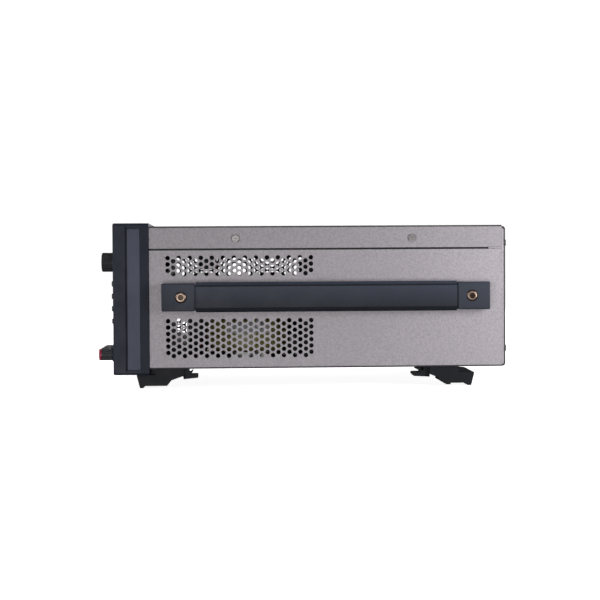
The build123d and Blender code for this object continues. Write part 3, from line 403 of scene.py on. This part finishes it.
CASE_TONE = tone(172, 166, 172)
bezel_finish = moulded("bezel_moulding", tone(34, 38, 52), rough=(0.48, 0.62), wear=0.2,
                       Specular_IOR_Level=0.3)
# The inlays' lighter tone is painted reflection off their flat faces
inlay_reflection_finish = moulded("bezel_inlay_painted_reflection", tone(76, 80, 96), grain=1900, rough=(0.5, 0.62), wear=0.1,
                       Specular_IOR_Level=0.3)
case_finish = coated("case_powder_coat", CASE_TONE)
cover_finish = coated("cover_powder_coat", scaled(CASE_TONE, 0.93), (3.0, 1.0, 2.0))
# The strap's channels, darkened with painted shade: how far they lie inside its long edges, and how wide they
# are
CHANNEL_INSET = 3.1 * MM
CHANNEL_WIDTH = 0.9 * MM
# Heights between which painted shade darkens the handle downwards
HANDLE_SHADE = (strap_high.z - 5 * MM, strap_low.z + 2 * MM)
strap_finish = moulded("strap_rubber", tone(55, 60, 73), grain=1400, rough=(0.4, 0.55), wear=0.1,
                       edge=0.8 * MM, shadow=(*HANDLE_SHADE, 0.7),
                       channels=((strap_high.z - CHANNEL_INSET, CHANNEL_WIDTH),
                                 (strap_low.z + CHANNEL_INSET, CHANNEL_WIDTH)), Specular_IOR_Level=0.25)
cap_finish = moulded("cap_moulding", tone(52, 57, 69), rough=(0.42, 0.56), wear=0.15,
                     shadow=(*HANDLE_SHADE, 0.3), Specular_IOR_Level=0.28)
foot_finish = moulded("foot_moulding", tone(19, 20, 27), rough=(0.45, 0.62), wear=0.3,
                      Specular_IOR_Level=0.22)
key_finish = moulded("key_rubber", tone(70, 72, 78), grain=2200, rough=(0.5, 0.66), wear=0.3)
knob_finish = moulded("knob_rubber", tone(36, 35, 40), grain=2400, rough=(0.5, 0.64), wear=0.35)
black_finish = moulded("black_moulding", tone(30, 30, 33), rough=(0.34, 0.5), wear=0.3)
button_finish = moulded("button_moulding", tone(120, 122, 127), rough=(0.32, 0.46), wear=0.25)
wire_finish = moulded("wire_insulation", tone(40, 40, 44), grain=900, rough=(0.4, 0.55), wear=0.1)
steel_finish = plated("zinc_sheet", tone(196, 196, 190))
# Near-black plated sheet for the front bulkhead
dark_steel_finish = plated("near_black_sheet", tone(20, 20, 22), rough=(0.5, 0.65), wear=0.1)
screw_finish = plated("screw_plating", tone(150, 147, 146), rough=(0.3, 0.45), wear=0.6)
# Depths in the handle screws' sockets between which painted shade darkens them
SOCKET_START = 0.5 * MM
SOCKET_END = 1.6 * MM
screw_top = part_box("handle_screws")[1].x
cap_screw_finish = plated("cap_screw_plating", tone(158, 138, 124), rough=(0.26, 0.42), wear=0.6,
                          recess=("X", screw_top - SOCKET_START, screw_top - SOCKET_END))
post_finish = plated("post_plating", tone(214, 206, 190), rough=(0.14, 0.3), wear=0.6)
sink_finish = plated("anodised_fins", tone(30, 31, 34), rough=(0.36, 0.55))
can_finish = moulded("capacitor_sleeve", tone(40, 44, 66), grain=500, depth=0.01 * MM, rough=(0.2, 0.34),
                     wear=0.1)
chip_finish = moulded("chip_package", tone(38, 38, 40), grain=3000, rough=(0.4, 0.55), wear=0.15)
tin_finish = plated("tinned_parts", tone(224, 222, 214), rough=(0.12, 0.26), wear=0.5)

NUT_CAP_DEPTH = 2.3 * MM
NUT_TIP_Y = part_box("post_nut_1")[0].y + NUT_CAP_DEPTH
NUT_TONE = tone(42, 44, 50)
red_nut_finish = tipped("red_capped_nut", NUT_TONE, tone(176, 32, 70), NUT_TIP_Y)
black_nut_finish = tipped("black_capped_nut", NUT_TONE, tone(58, 60, 66), NUT_TIP_Y)

NUMBER_KEYS = [f"number_key_{digit}" for digit in range(10)]
paint(bezel_finish, "front_bezel")
paint(case_finish, "lower_case", "rear_panel")
paint(cover_finish, "top_cover")
paint(strap_finish, "handle_strap")
paint(cap_finish, "handle_front_cap", "handle_rear_cap")
paint(foot_finish, "front_foot_right", "front_foot_left", "rear_foot_right", "rear_foot_left",
      "tilt_leg_right", "tilt_leg_left")
paint(key_finish, *NUMBER_KEYS, "point_key", "enter_key", "left_key", "right_key", "output_key",
      "function_key_1", "function_key_2")
paint(knob_finish, "control_knob")
paint(button_finish, "power_button")
paint(black_finish, "mains_inlet", "fuse_drawer", "fan_frame", "fan_rotor", "power_switch",
      "power_transistors")
paint(wire_finish, "wiring_loom")
paint(steel_finish, "transformer_clamp", "data_sockets", "board_standoffs")
paint(dark_steel_finish, "front_bulkhead")
paint(cap_screw_finish, "handle_screws")
paint(screw_finish, "case_screws", "tilt_leg_pins")
paint(post_finish, "binding_posts", "knob_encoder")
paint(sink_finish, "heat_sink")
paint(can_finish, "filter_capacitors")
paint(board("green_board", tone(14, 56, 34)), "front_circuit_board", "main_circuit_board")
paint(moulded("card_laminate", tone(24, 26, 26), grain=1800, rough=(0.35, 0.5), wear=0.1), "plug_in_card")
paint(taped("yellow_tape", middle("toroid_transformer"), tone(150, 144, 84)), "toroid_transformer")
paint(screen("display_panel", *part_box("display_module")), "display_module")
paint(lens("window_lens"), "display_window")
paint(red_nut_finish, "post_nut_1", "post_nut_4")
paint(black_nut_finish, "post_nut_2", "post_nut_3")


# ---------------------------------------------------------------- mesh helpers
def piece(name, mesh_maker, material, body="chassis"):
    """Object from a function that fills a bmesh in the shared frame; it rides on a body."""
    shape = bmesh.new()
    mesh_maker(shape)
    bmesh.ops.recalc_face_normals(shape, faces=shape.faces)
    mesh = bpy.data.meshes.new(name)
    shape.to_mesh(mesh)
    shape.free()
    made = bpy.data.objects.new(name, mesh)
    bpy.context.scene.collection.objects.link(made)
    mesh.materials.append(material)
    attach(made, body)
    return made


def rounded_outline(width, height, radius, steps=6):
    """Points of a rounded rectangle round the origin, anticlockwise."""
    points = []
    for quarter in range(4):
        turn = quarter * math.pi / 2
        centre_x = (width / 2 - radius) * (1 if quarter in (0, 3) else -1)
        centre_y = (height / 2 - radius) * (1 if quarter in (0, 1) else -1)
        for step in range(steps + 1):
            angle = turn + step / steps * math.pi / 2
            points.append((centre_x + radius * math.cos(angle), centre_y + radius * math.sin(angle)))
    return points


def circle(radius, sides):
    """Points of a circle round the origin."""
    return [(radius * math.cos(k / sides * 2 * math.pi), radius * math.sin(k / sides * 2 * math.pi))
            for k in range(sides)]


def middle_in_face(low, high):
    """Middle of a box as its front face shows it: x and z."""
    return ((low.x + high.x) / 2, (low.z + high.z) / 2)


def slab(shape, points, to_world, thickness, crown=0.0):
    """Extrude flat points; to_world maps (u, v, out) to the shared frame, crown insets the outer rim."""
    rings = []
    levels = [(0.0, 0.0), (thickness - crown, 0.0)]
    if crown:
        levels += [(thickness - crown * 0.3, crown * 0.35), (thickness, crown)]
    for out, inset in levels:
        ring = []
        for u, v in points:
            length = math.hypot(u, v) or 1.0
            ring.append(shape.verts.new(to_world(u - u / length * inset, v - v / length * inset, out)))
        rings.append(ring)
    shape.faces.new(rings[0])
    shape.faces.new(rings[-1])
    count = len(points)
    for lower, upper in zip(rings, rings[1:]):
        for i in range(count):
            shape.faces.new((lower[i], lower[(i + 1) % count], upper[(i + 1) % count], upper[i]))


def tube(shape, points, radius):
    """Round bar along a smoothed path."""
    sides = 10
    path = []
    knots = [points[0], *points, points[-1]]
    for i in range(1, len(knots) - 2):
        before, start, end, after = (Vector(knot) for knot in knots[i - 1:i + 3])
        for step in range(8):
            t = step / 8
            square = 2 * before - 5 * start + 4 * end - after
            cube = 3 * start - before - 3 * end + after
            path.append(0.5 * (2 * start + (end - before) * t + square * t * t + cube * t * t * t))
    path.append(Vector(points[-1]))
    rings = []
    side = Vector((0.31, 0.17, 0.93))
    for i, place in enumerate(path):
        along = (path[min(i + 1, len(path) - 1)] - path[max(i - 1, 0)]).normalized()
        side = (side - along * side.dot(along)).normalized()
        other = along.cross(side)
        rings.append([shape.verts.new(place + (side * math.cos(turn) + other * math.sin(turn)) * radius)
                      for turn in (k / sides * 2 * math.pi for k in range(sides))])
    for lower, upper in zip(rings, rings[1:]):
        for k in range(sides):
            shape.faces.new((lower[k], lower[(k + 1) % sides], upper[(k + 1) % sides], upper[k]))
    shape.faces.new(rings[0])
    shape.faces.new(rings[-1])


def package(shape, low, high, bevel):
    """Small moulded body: a box whose upright edges and top rim are cut back."""
    middle_x, middle_y = (low[0] + high[0]) / 2, (low[1] + high[1]) / 2
    outline = rounded_outline(high[0] - low[0], high[1] - low[1], bevel, 3)
    slab(shape, outline, lambda u, v, out: Vector((middle_x + u, middle_y + v, low[2] + out)),
         high[2] - low[2], bevel * 0.6)


# ---------------------------------------------------------------- generic numerals and symbols
def arc(centre, radius, start, end, steps=8):
    """Points on an arc, angles in degrees."""
    return [(centre[0] + radius * math.cos(math.radians(start + (end - start) * i / steps)),
             centre[1] + radius * math.sin(math.radians(start + (end - start) * i / steps)))
            for i in range(steps + 1)]


# Strokes in a cell 1 wide and GLYPH_HEIGHT high, origin at the lower left
GLYPH_HEIGHT = 1.6
GLYPH_STEP = 1.35
STROKE = 0.17
GLYPHS = {
    "0": [arc((0.5, 1.15), 0.42, 0, 180) + arc((0.5, 0.45), 0.42, 180, 360) + [(0.92, 1.15)]],
    "1": [[(0.2, 1.25), (0.55, 1.57), (0.55, 0.03)]],
    "2": [arc((0.5, 1.15), 0.42, 170, -40) + [(0.08, 0.05), (0.95, 0.05)]],
    "3": [arc((0.48, 1.2), 0.37, 150, -80), arc((0.48, 0.43), 0.42, 90, -150)],
    "4": [[(0.72, 0.03), (0.72, 1.57), (0.05, 0.5), (0.98, 0.5)]],
    "5": [[(0.88, 1.57), (0.18, 1.57), (0.12, 0.9)] + arc((0.48, 0.48), 0.45, 120, -150)],
    "6": [[(0.78, 1.5), (0.3, 1.1)] + arc((0.5, 0.47), 0.43, 160, -200)],
    "7": [[(0.08, 1.55), (0.93, 1.55), (0.35, 0.03)]],
    "8": [arc((0.5, 1.2), 0.35, -90, 270, 14), arc((0.5, 0.43), 0.42, 90, 450, 14)],
    "9": [[(0.22, 0.1), (0.7, 0.5)] + arc((0.5, 1.13), 0.43, -20, 340)],
    "point": [arc((0.5, 0.2), 0.09, 0, 360)],
    "enter": [[(0.95, 1.2), (0.95, 0.6), (0.1, 0.6)], [(0.4, 0.9), (0.08, 0.6), (0.4, 0.3)]],
    "left": [[(0.75, 1.4), (0.15, 0.8), (0.75, 0.2)]],
    "right": [[(0.25, 1.4), (0.85, 0.8), (0.25, 0.2)]],
    "power": [arc((0.5, 0.75), 0.55, 120, 420, 16), [(0.5, 1.5), (0.5, 0.8)]],
    "plus": [[(0.05, 0.8), (0.95, 0.8)], [(0.5, 0.35), (0.5, 1.25)]],
    "minus": [[(0.05, 0.8), (0.95, 0.8)]],
    "earth": [[(0.5, 1.5), (0.5, 0.85)], [(0.0, 0.85), (1.0, 0.85)], [(0.2, 0.55), (0.8, 0.55)],
              [(0.38, 0.25), (0.62, 0.25)]],
}


def write(shape, text, centre, height, to_world):
    """Strokes of one or more glyphs centred on a point of a flat face."""
    unit = height / GLYPH_HEIGHT
    half = STROKE * unit / 2
    start = centre[0] - (len(text) * GLYPH_STEP - (GLYPH_STEP - 1)) * unit / 2
    foot = centre[1] - height / 2
    for index, glyph in enumerate(text):
        for line in GLYPHS[glyph]:
            places = [Vector((start + (index * GLYPH_STEP + u) * unit, foot + v * unit)) for u, v in line]
            for first, second in zip(places, places[1:]):
                along = (second - first).normalized() * half
                across = Vector((-along.y, along.x))
                corners = (first - along + across, first - along - across, second + along - across,
                           second + along + across)
                lower = [shape.verts.new(to_world(c.x, c.y, 0.0)) for c in corners]
                upper = [shape.verts.new(to_world(c.x, c.y, 1.0)) for c in corners]
                shape.faces.new(lower)
                shape.faces.new(upper)
                for k in range(4):
                    shape.faces.new((lower[k], lower[(k + 1) % 4], upper[(k + 1) % 4], upper[k]))


# Height of a stroke of ink, and how far it is sunk so that it never floats
INK_RISE = 0.06 * MM
SINK = 0.02 * MM


def on_front(y):
    """Placement on a face that looks to the front: u to the operator's right, v up."""
    return lambda u, v, out: Vector((u, y + SINK - out * INK_RISE, v))


def on_rear(y):
    """Placement on a face that looks to the rear, read from behind."""
    return lambda u, v, out: Vector((-u, y - SINK + out * INK_RISE, v))


# ---------------------------------------------------------------- bezel side inlays
INLAY_DEPTHS = (12.2 * MM, 23.3 * MM)
INLAY_DROPS = (2.2 * MM, 126.0 * MM)
INLAY_BED = 0.62 * MM
INLAY_THICKNESS = 0.45 * MM


def add_side_inlays():
    """Panels set into the recess in each side of the bezel, in a lighter tone that is painted reflection."""
    start, end = (FRONT + depth for depth in INLAY_DEPTHS)
    top, bottom = (CASE_TOP - drop for drop in INLAY_DROPS)
    outline = rounded_outline(end - start, top - bottom, 1.2 * MM)
    for side, name in ((1, "side_inlay_right"), (-1, "side_inlay_left")):
        base_x = (bezel_high.x - INLAY_BED) if side > 0 else (bezel_low.x + INLAY_BED)

        def place(u, v, out, side=side, base_x=base_x):
            return Vector((base_x + side * out, (start + end) / 2 + u, (top + bottom) / 2 + v))

        piece(name, lambda shape, place=place: slab(shape, outline, place, INLAY_THICKNESS, 0.15 * MM),
              inlay_reflection_finish)


# ---------------------------------------------------------------- legends
ink_finish = printed("pale_ink", tone(216, 218, 222))
orange_ink_finish = printed("orange_ink", tone(214, 120, 40))
dark_ink_finish = printed("dark_ink", tone(44, 46, 52))
KEY_GLYPH = 2.7 * MM
POWER_GLYPH = 4.6 * MM
SIGN_GLYPH = 2.6 * MM
CHANNEL_GLYPH = 3.4 * MM
LEGENDS = {key: (key[-1],) for key in NUMBER_KEYS}
LEGENDS |= {"point_key": ("point",), "enter_key": ("enter",), "left_key": ("left",), "right_key": ("right",),
            "output_key": ("1", "0"), "function_key_1": ("1",), "function_key_2": ("2",)}


def add_key_legends():
    """Printed symbol on every key and on the power button; each moves with its key."""
    for key, text in LEGENDS.items():
        low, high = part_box(key)
        centre = middle_in_face(low, high)
        ink = orange_ink_finish if key == "output_key" else ink_finish
        piece(f"{key}_legend", lambda shape, text=text, centre=centre, low=low: write(
            shape, text, centre, KEY_GLYPH, on_front(low.y)), ink, key)
    low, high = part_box("power_button")
    centre = middle_in_face(low, high)
    piece("power_button_legend", lambda shape: write(shape, ("power",), centre, POWER_GLYPH, on_front(low.y)),
          dark_ink_finish, "power_button")


# The plinth under the posts stands proud of the panel; the legends stand above the posts
PLINTH_RISE = 0.5 * MM
SIGN_RISE = 9.4 * MM
CHANNEL_RISE = 9.6 * MM


def add_panel_legends():
    """Polarity signs and channel numbers round the output posts."""
    face = on_front(FRONT - PLINTH_RISE)
    nuts = [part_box(f"post_nut_{number}") for number in (1, 2, 3, 4)]
    centres = [middle_in_face(low, high) for low, high in nuts]

    def fill(shape):
        for (x, z), sign in zip(centres, ("plus", "minus", "minus", "plus")):
            write(shape, (sign,), (x, z + SIGN_RISE), SIGN_GLYPH, face)
        for pair, number in ((centres[2:], "1"), (centres[:2], "2")):
            middle_x = (pair[0][0] + pair[1][0]) / 2
            write(shape, (number,), (middle_x, pair[0][1] + CHANNEL_RISE), CHANNEL_GLYPH, face)

    piece("panel_legends", fill, ink_finish)


# ---------------------------------------------------------------- display surround
def add_display_border():
    """Thin grey frame printed round the display window."""
    low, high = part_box("display_window")
    centre = middle_in_face(low, high)
    outer = rounded_outline(high.x - low.x - 1.0 * MM, high.z - low.z - 1.0 * MM, 1.6 * MM)
    inner = rounded_outline(high.x - low.x - 3.0 * MM, high.z - low.z - 3.0 * MM, 1.0 * MM)
    back, face = low.y + SINK, low.y - 0.05 * MM

    def fill(shape):
        rings = []
        for points, y in ((outer, back), (outer, face), (inner, face), (inner, back)):
            rings.append([shape.verts.new((centre[0] + u, y, centre[1] + v)) for u, v in points])
        count = len(outer)
        for ring, following in zip(rings, rings[1:] + rings[:1]):
            for i in range(count):
                shape.faces.new((ring[i], ring[(i + 1) % count], following[(i + 1) % count], following[i]))

    piece("display_border", fill, printed("border_ink", tone(96, 100, 110)))


# ---------------------------------------------------------------- details seen through the perforations
CAN_RADIUS = 12.5 * MM
CAN_STEP = 25.6 * MM


def add_capacitor_tops():
    """Bare aluminium tops with a pressed vent cross."""
    low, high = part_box("filter_capacitors")
    disc = circle(10.6 * MM, 28)
    arm_length, arm_half_width = 7 * MM, 0.35 * MM

    def fill(shape):
        for x in (low.x + CAN_RADIUS, high.x - CAN_RADIUS):
            for step in range(3):
                y = low.y + CAN_RADIUS + step * CAN_STEP

                def place(u, v, out, x=x, y=y):
                    return Vector((x + u, y + v, high.z - 0.1 * MM + out))

                slab(shape, disc, place, 0.35 * MM, 0.2 * MM)
                for angle in (0.6, 0.6 + math.pi / 2):
                    across = Vector((math.cos(angle), math.sin(angle)))
                    side = Vector((-across.y, across.x)) * arm_half_width
                    corners = [across * end * arm_length + side * hand
                               for end, hand in ((-1, 1), (-1, -1), (1, -1), (1, 1))]
                    slab(shape, [(c.x, c.y) for c in corners],
                         lambda u, v, out, place=place: place(u, v, 0.35 * MM + out), 0.12 * MM)

    piece("capacitor_tops", fill, tin_finish, "chassis")


BOARD_THICKNESS = 1.6 * MM
# Area of the board that its larger parts cover
CLEAR_START, CLEAR_END, CLEAR_EDGE = 40 * MM, 132 * MM, 16 * MM
CHIP_SHARE = 0.62


def add_board_parts():
    """Chips and small metal cans on the main board, clear of its larger parts."""
    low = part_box("main_circuit_board")[0]
    top = low.z + BOARD_THICKNESS
    chips, metal = [], []
    for row in range(13):
        for column in range(6):
            x = low.x + (9 + column * 15 + random.uniform(-2, 2)) * MM
            y = low.y + (12 + row * 18 + random.uniform(-3, 3)) * MM
            if CLEAR_START < y - low.y < CLEAR_END and x - low.x > CLEAR_EDGE:
                continue
            length, width, height = (random.uniform(4, 9) * MM, random.uniform(3, 8) * MM,
                                     random.uniform(1.4, 7) * MM)
            boxes = chips if random.random() < CHIP_SHARE else metal
            boxes.append(((x, y, top), (x + length, y + width, top + height)))
    for name, boxes, finish in (("board_chips", chips, chip_finish), ("board_cans", metal, tin_finish)):
        def fill(shape, boxes=boxes):
            for corner, far_corner in boxes:
                package(shape, corner, far_corner, 0.6 * MM)

        piece(name, fill, finish, "chassis")


def add_transformer_leads():
    """Four insulated leads from the transformer across to the main board."""
    low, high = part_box("toroid_transformer")
    board_low, board_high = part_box("main_circuit_board")
    centre = (low + high) / 2
    colours = (tone(150, 30, 30), tone(34, 34, 38), tone(226, 224, 214), tone(40, 62, 130))
    for index, colour in enumerate(colours):
        start = Vector((low.x + 4 * MM, centre.y + (index * 5 - 26) * MM, high.z - 6 * MM))
        points = [start, start + Vector((-6, -2, 7)) * MM,
                  Vector((board_high.x - (10 + 3 * index) * MM, centre.y - (30 - 4 * index) * MM,
                          high.z + (3 - 2 * index) * MM)),
                  Vector((board_high.x - (14 + 4 * index) * MM, board_low.y + (26 + 4 * index) * MM,
                          board_low.z + 2 * MM))]
        insulation = moulded(f"lead_insulation_{index + 1}", colour, grain=900, rough=(0.3, 0.45), wear=0.05)
        piece(f"transformer_lead_{index + 1}", lambda shape, points=points: tube(shape, points, 1.1 * MM),
              insulation, "chassis")


# In millimetres below the winding's top: the label's levels, and the round of the winding's edge
LABEL_DROPS = (3.0, 4.0, 5.0, 6.0, 7.0, 13.0)
SHOULDER = 7.0
LABEL_HALF_TURN = 28
SLEEVE_DEPTHS = (100.5, 126.1)


def add_transformer_wrap():
    """Pale label round the right-hand side of the winding, and two white sleeved leads that rise past it."""
    low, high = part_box("toroid_transformer")
    centre = (low + high) / 2
    radius = (high.x - low.x) / 2

    def fill(shape):
        turns = [math.radians(-LABEL_HALF_TURN + 2 * LABEL_HALF_TURN * step / 20) for step in range(21)]
        rings = []
        for out, drops in ((0.05, LABEL_DROPS), (0.35, LABEL_DROPS[::-1])):
            for drop in drops:
                # The winding's top edge is rounded, so the label leans in with it
                lean = SHOULDER - math.sqrt(SHOULDER ** 2 - max(0.0, SHOULDER - drop) ** 2)
                reach = radius + (out - lean) * MM
                z = high.z - drop * MM
                rings.append([shape.verts.new((centre.x + reach * math.cos(turn),
                                               centre.y + reach * math.sin(turn), z)) for turn in turns])
        for ring, following in zip(rings, rings[1:] + rings[:1]):
            for i in range(len(turns) - 1):
                shape.faces.new((ring[i], ring[i + 1], following[i + 1], following[i]))
        for end in (0, -1):
            shape.faces.new([ring[end] for ring in rings])

    piece("transformer_label", fill, printed("label_paper", tone(196, 194, 196)), "chassis")
    sleeve = moulded("white_sleeve", tone(244, 243, 240), grain=900, rough=(0.3, 0.45), wear=0.05)
    for number, depth in enumerate(SLEEVE_DEPTHS, 1):
        y = FRONT + depth * MM
        edge_x = centre.x + math.sqrt(radius ** 2 - (y - centre.y) ** 2) + 1.8 * MM
        path = ((0, 0, -12), (8, 0.4, -6), (-4, 0.6, 2), (-20, 1, 4))
        points = [Vector((edge_x + x * MM, y + rearward * MM, high.z + up * MM)) for x, rearward, up in path]
        piece(f"sleeved_lead_{number}", lambda shape, points=points: tube(shape, points, 1.3 * MM), sleeve,
              "chassis")


def add_card_capacitor():
    """Brown dipped capacitor that sticks out past the rear edge of the upright card."""
    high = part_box("plug_in_card")[1]
    corner = Vector((high.x - 8.8 * MM, high.y - 2.5 * MM, high.z - 14 * MM))
    piece("card_capacitor", lambda shape: package(shape, corner, corner + Vector((6, 5.5, 6)) * MM, 1.2 * MM),
          moulded("dipped_resin", tone(118, 78, 48), grain=1200, rough=(0.3, 0.45), wear=0.1), "chassis")


# The clamp's bolt stands this far above its plate
BOLT_RISE = 9.5 * MM
WASHER_THICKNESS = 1.2 * MM


def add_clamp_nut():
    """Hexagonal nut and a bright washer on top of the transformer's clamp plate."""
    low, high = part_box("transformer_clamp")
    centre = (low + high) / 2
    plate_top = high.z - BOLT_RISE
    for name, points, start, thickness in (("clamp_washer", circle(11 * MM, 32), 0.0, WASHER_THICKNESS),
                                           ("clamp_nut", circle(7.4 * MM, 6), WASHER_THICKNESS, 5.5 * MM)):
        piece(name, lambda shape, points=points, start=start, thickness=thickness: slab(
            shape, points, lambda u, v, out: Vector((centre.x + u, centre.y + v, plate_top + start + out)),
            thickness, 0.5 * MM), tin_finish, "chassis")


# ---------------------------------------------------------------- rear details
def add_rear_details():
    """Blank rating plate and the earth symbol beside the mains inlet."""
    inlet_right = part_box("mains_inlet")[1].x
    centre_x, centre_z = MID_X - 30 * MM, CASE_TOP - 84 * MM
    plate = rounded_outline(34 * MM, 24 * MM, 1.5 * MM)
    foil = plated("rating_foil", tone(188, 189, 192), along="X", rough=(0.3, 0.45))
    piece("rating_plate", lambda shape: slab(
        shape, plate, lambda u, v, out: Vector((centre_x + u, PANEL_REAR - SINK + out, centre_z + v)),
        0.25 * MM, 0.1 * MM), foil, "chassis")
    place = (-(inlet_right + 7 * MM), CASE_TOP - 108 * MM)
    piece("rear_legends", lambda shape: write(shape, ("earth",), place, 5 * MM, on_rear(PANEL_REAR)),
          dark_ink_finish, "chassis")


add_side_inlays()
add_key_legends()
add_panel_legends()
add_display_border()
add_capacitor_tops()
add_board_parts()
add_transformer_leads()
add_transformer_wrap()
add_card_capacitor()
add_clamp_nut()
add_rear_details()


# ---------------------------------------------------------------- stage, lights and camera
# Emission that shows as plain white
WHITE_GLOW = 1.02


def add_stage():
    """Pale floor and a white surround: the camera sees them, but they neither light nor shade the object."""
    bpy.ops.mesh.primitive_plane_add(size=30)
    floor = bpy.context.object
    floor.name = "floor"
    floor.location.z = cad_low.z - 0.2 * MM
    floor_finish = Finish("floor_paper", Roughness=0.9)
    pale = floor_finish.mix(floor_finish.noise(3, 2.0, 0.5), (0.80, 0.80, 0.80, 1), (0.82, 0.82, 0.82, 1))
    floor_finish.feed("Base Color", pale)
    floor_finish.shader.inputs["Emission Color"].default_value = (1, 1, 1, 1)
    reach = floor_finish.add("ShaderNodeVectorMath", {0: floor_finish.place}, operation="LENGTH")
    brighter = floor_finish.remap(reach.outputs["Value"], 0.22, 0.5, 0.90, WHITE_GLOW)
    floor_finish.feed("Emission Strength", brighter)
    floor.data.materials.append(floor_finish.material)
    bpy.ops.mesh.primitive_uv_sphere_add(radius=14, segments=48, ring_count=24)
    surround = bpy.context.object
    surround.name = "surround"
    surround_finish = Finish("surround_paper", Emission_Strength=WHITE_GLOW)
    surround_finish.shader.inputs["Base Color"].default_value = (0, 0, 0, 1)
    surround_finish.shader.inputs["Emission Color"].default_value = (1, 1, 1, 1)
    surround.data.materials.append(surround_finish.material)
    for stage_object in (floor, surround):
        stage_object.visible_diffuse = False
        stage_object.visible_glossy = False
        stage_object.visible_shadow = False


def add_light(name, place, target, size, power):
    """Soft rectangular studio light aimed at a point."""
    data = bpy.data.lights.new(name, "AREA")
    data.shape = "RECTANGLE"
    data.size, data.size_y = size
    data.energy = power
    light = bpy.data.objects.new(name, data)
    light.location = place
    light.rotation_euler = (Vector(target) - Vector(place)).to_track_quat("-Z", "Y").to_euler()
    bpy.context.scene.collection.objects.link(light)


def add_lights():
    """A broad light and a small one on the right-hand side, and large soft lights all round.

    The broad side light stands below the floor, which casts no shadow.
    """
    centre = (0, 0, 0.08)
    add_light("rear_side_key", (0.36, 0.38, 0.14), (0.1, 0.16, 0.08), (0.12, 0.2), 1.0)
    add_light("side_fill", (1.9, -0.5, -0.2), centre, (1.6, 0.8), 14.8)
    add_light("front_key", (0.2, -2.1, 0.8), centre, (1.6, 1.2), 20)
    add_light("left_key", (-2.0, 0.2, 0.8), centre, (1.6, 1.2), 24)
    add_light("rear_key", (-0.5, 2.2, 0.8), centre, (1.6, 1.2), 20)
    add_light("overhead", (0.0, 0.0, 2.2), centre, (1.6, 1.6), 4)
    world = bpy.data.worlds.new("studio")
    world.use_nodes = True
    world.node_tree.nodes["Background"].inputs["Color"].default_value = (0.95, 0.96, 1.0, 1)
    world.node_tree.nodes["Background"].inputs["Strength"].default_value = 0.08
    bpy.context.scene.world = world


# The camera stands off the right-hand side, aimed a little to the rear of its own place and a little down
CAMERA_OUT = 1.215
CAMERA_BEHIND_FRONT = 0.1091
CAMERA_BELOW_TOP = 0.0395
AIM_REARWARD = 0.05475
AIM_DOWN = 0.0261
CAMERA_ROLL = math.radians(0.36)
CAMERA_LENS = 82.66


def add_camera():
    """Camera that looks at the right-hand side of the case."""
    place = Vector((CASE_RIGHT + CAMERA_OUT, FRONT + CAMERA_BEHIND_FRONT, CASE_TOP - CAMERA_BELOW_TOP))
    aim = Vector((CASE_RIGHT, place.y + AIM_REARWARD, place.z - AIM_DOWN))
    data = bpy.data.cameras.new("camera")
    data.sensor_width = 36
    data.lens = CAMERA_LENS
    data.clip_start, data.clip_end = 0.05, 100
    camera = bpy.data.objects.new("camera", data)
    aimed = (aim - place).to_track_quat("-Z", "Y").to_matrix().to_4x4()
    camera.matrix_world = Matrix.Translation(place) @ aimed @ Matrix.Rotation(-CAMERA_ROLL, 4, "Z")
    bpy.context.scene.collection.objects.link(camera)
    bpy.context.scene.camera = camera
    bpy.context.scene.view_settings.view_transform = "Standard"


add_stage()
add_lights()
add_camera()
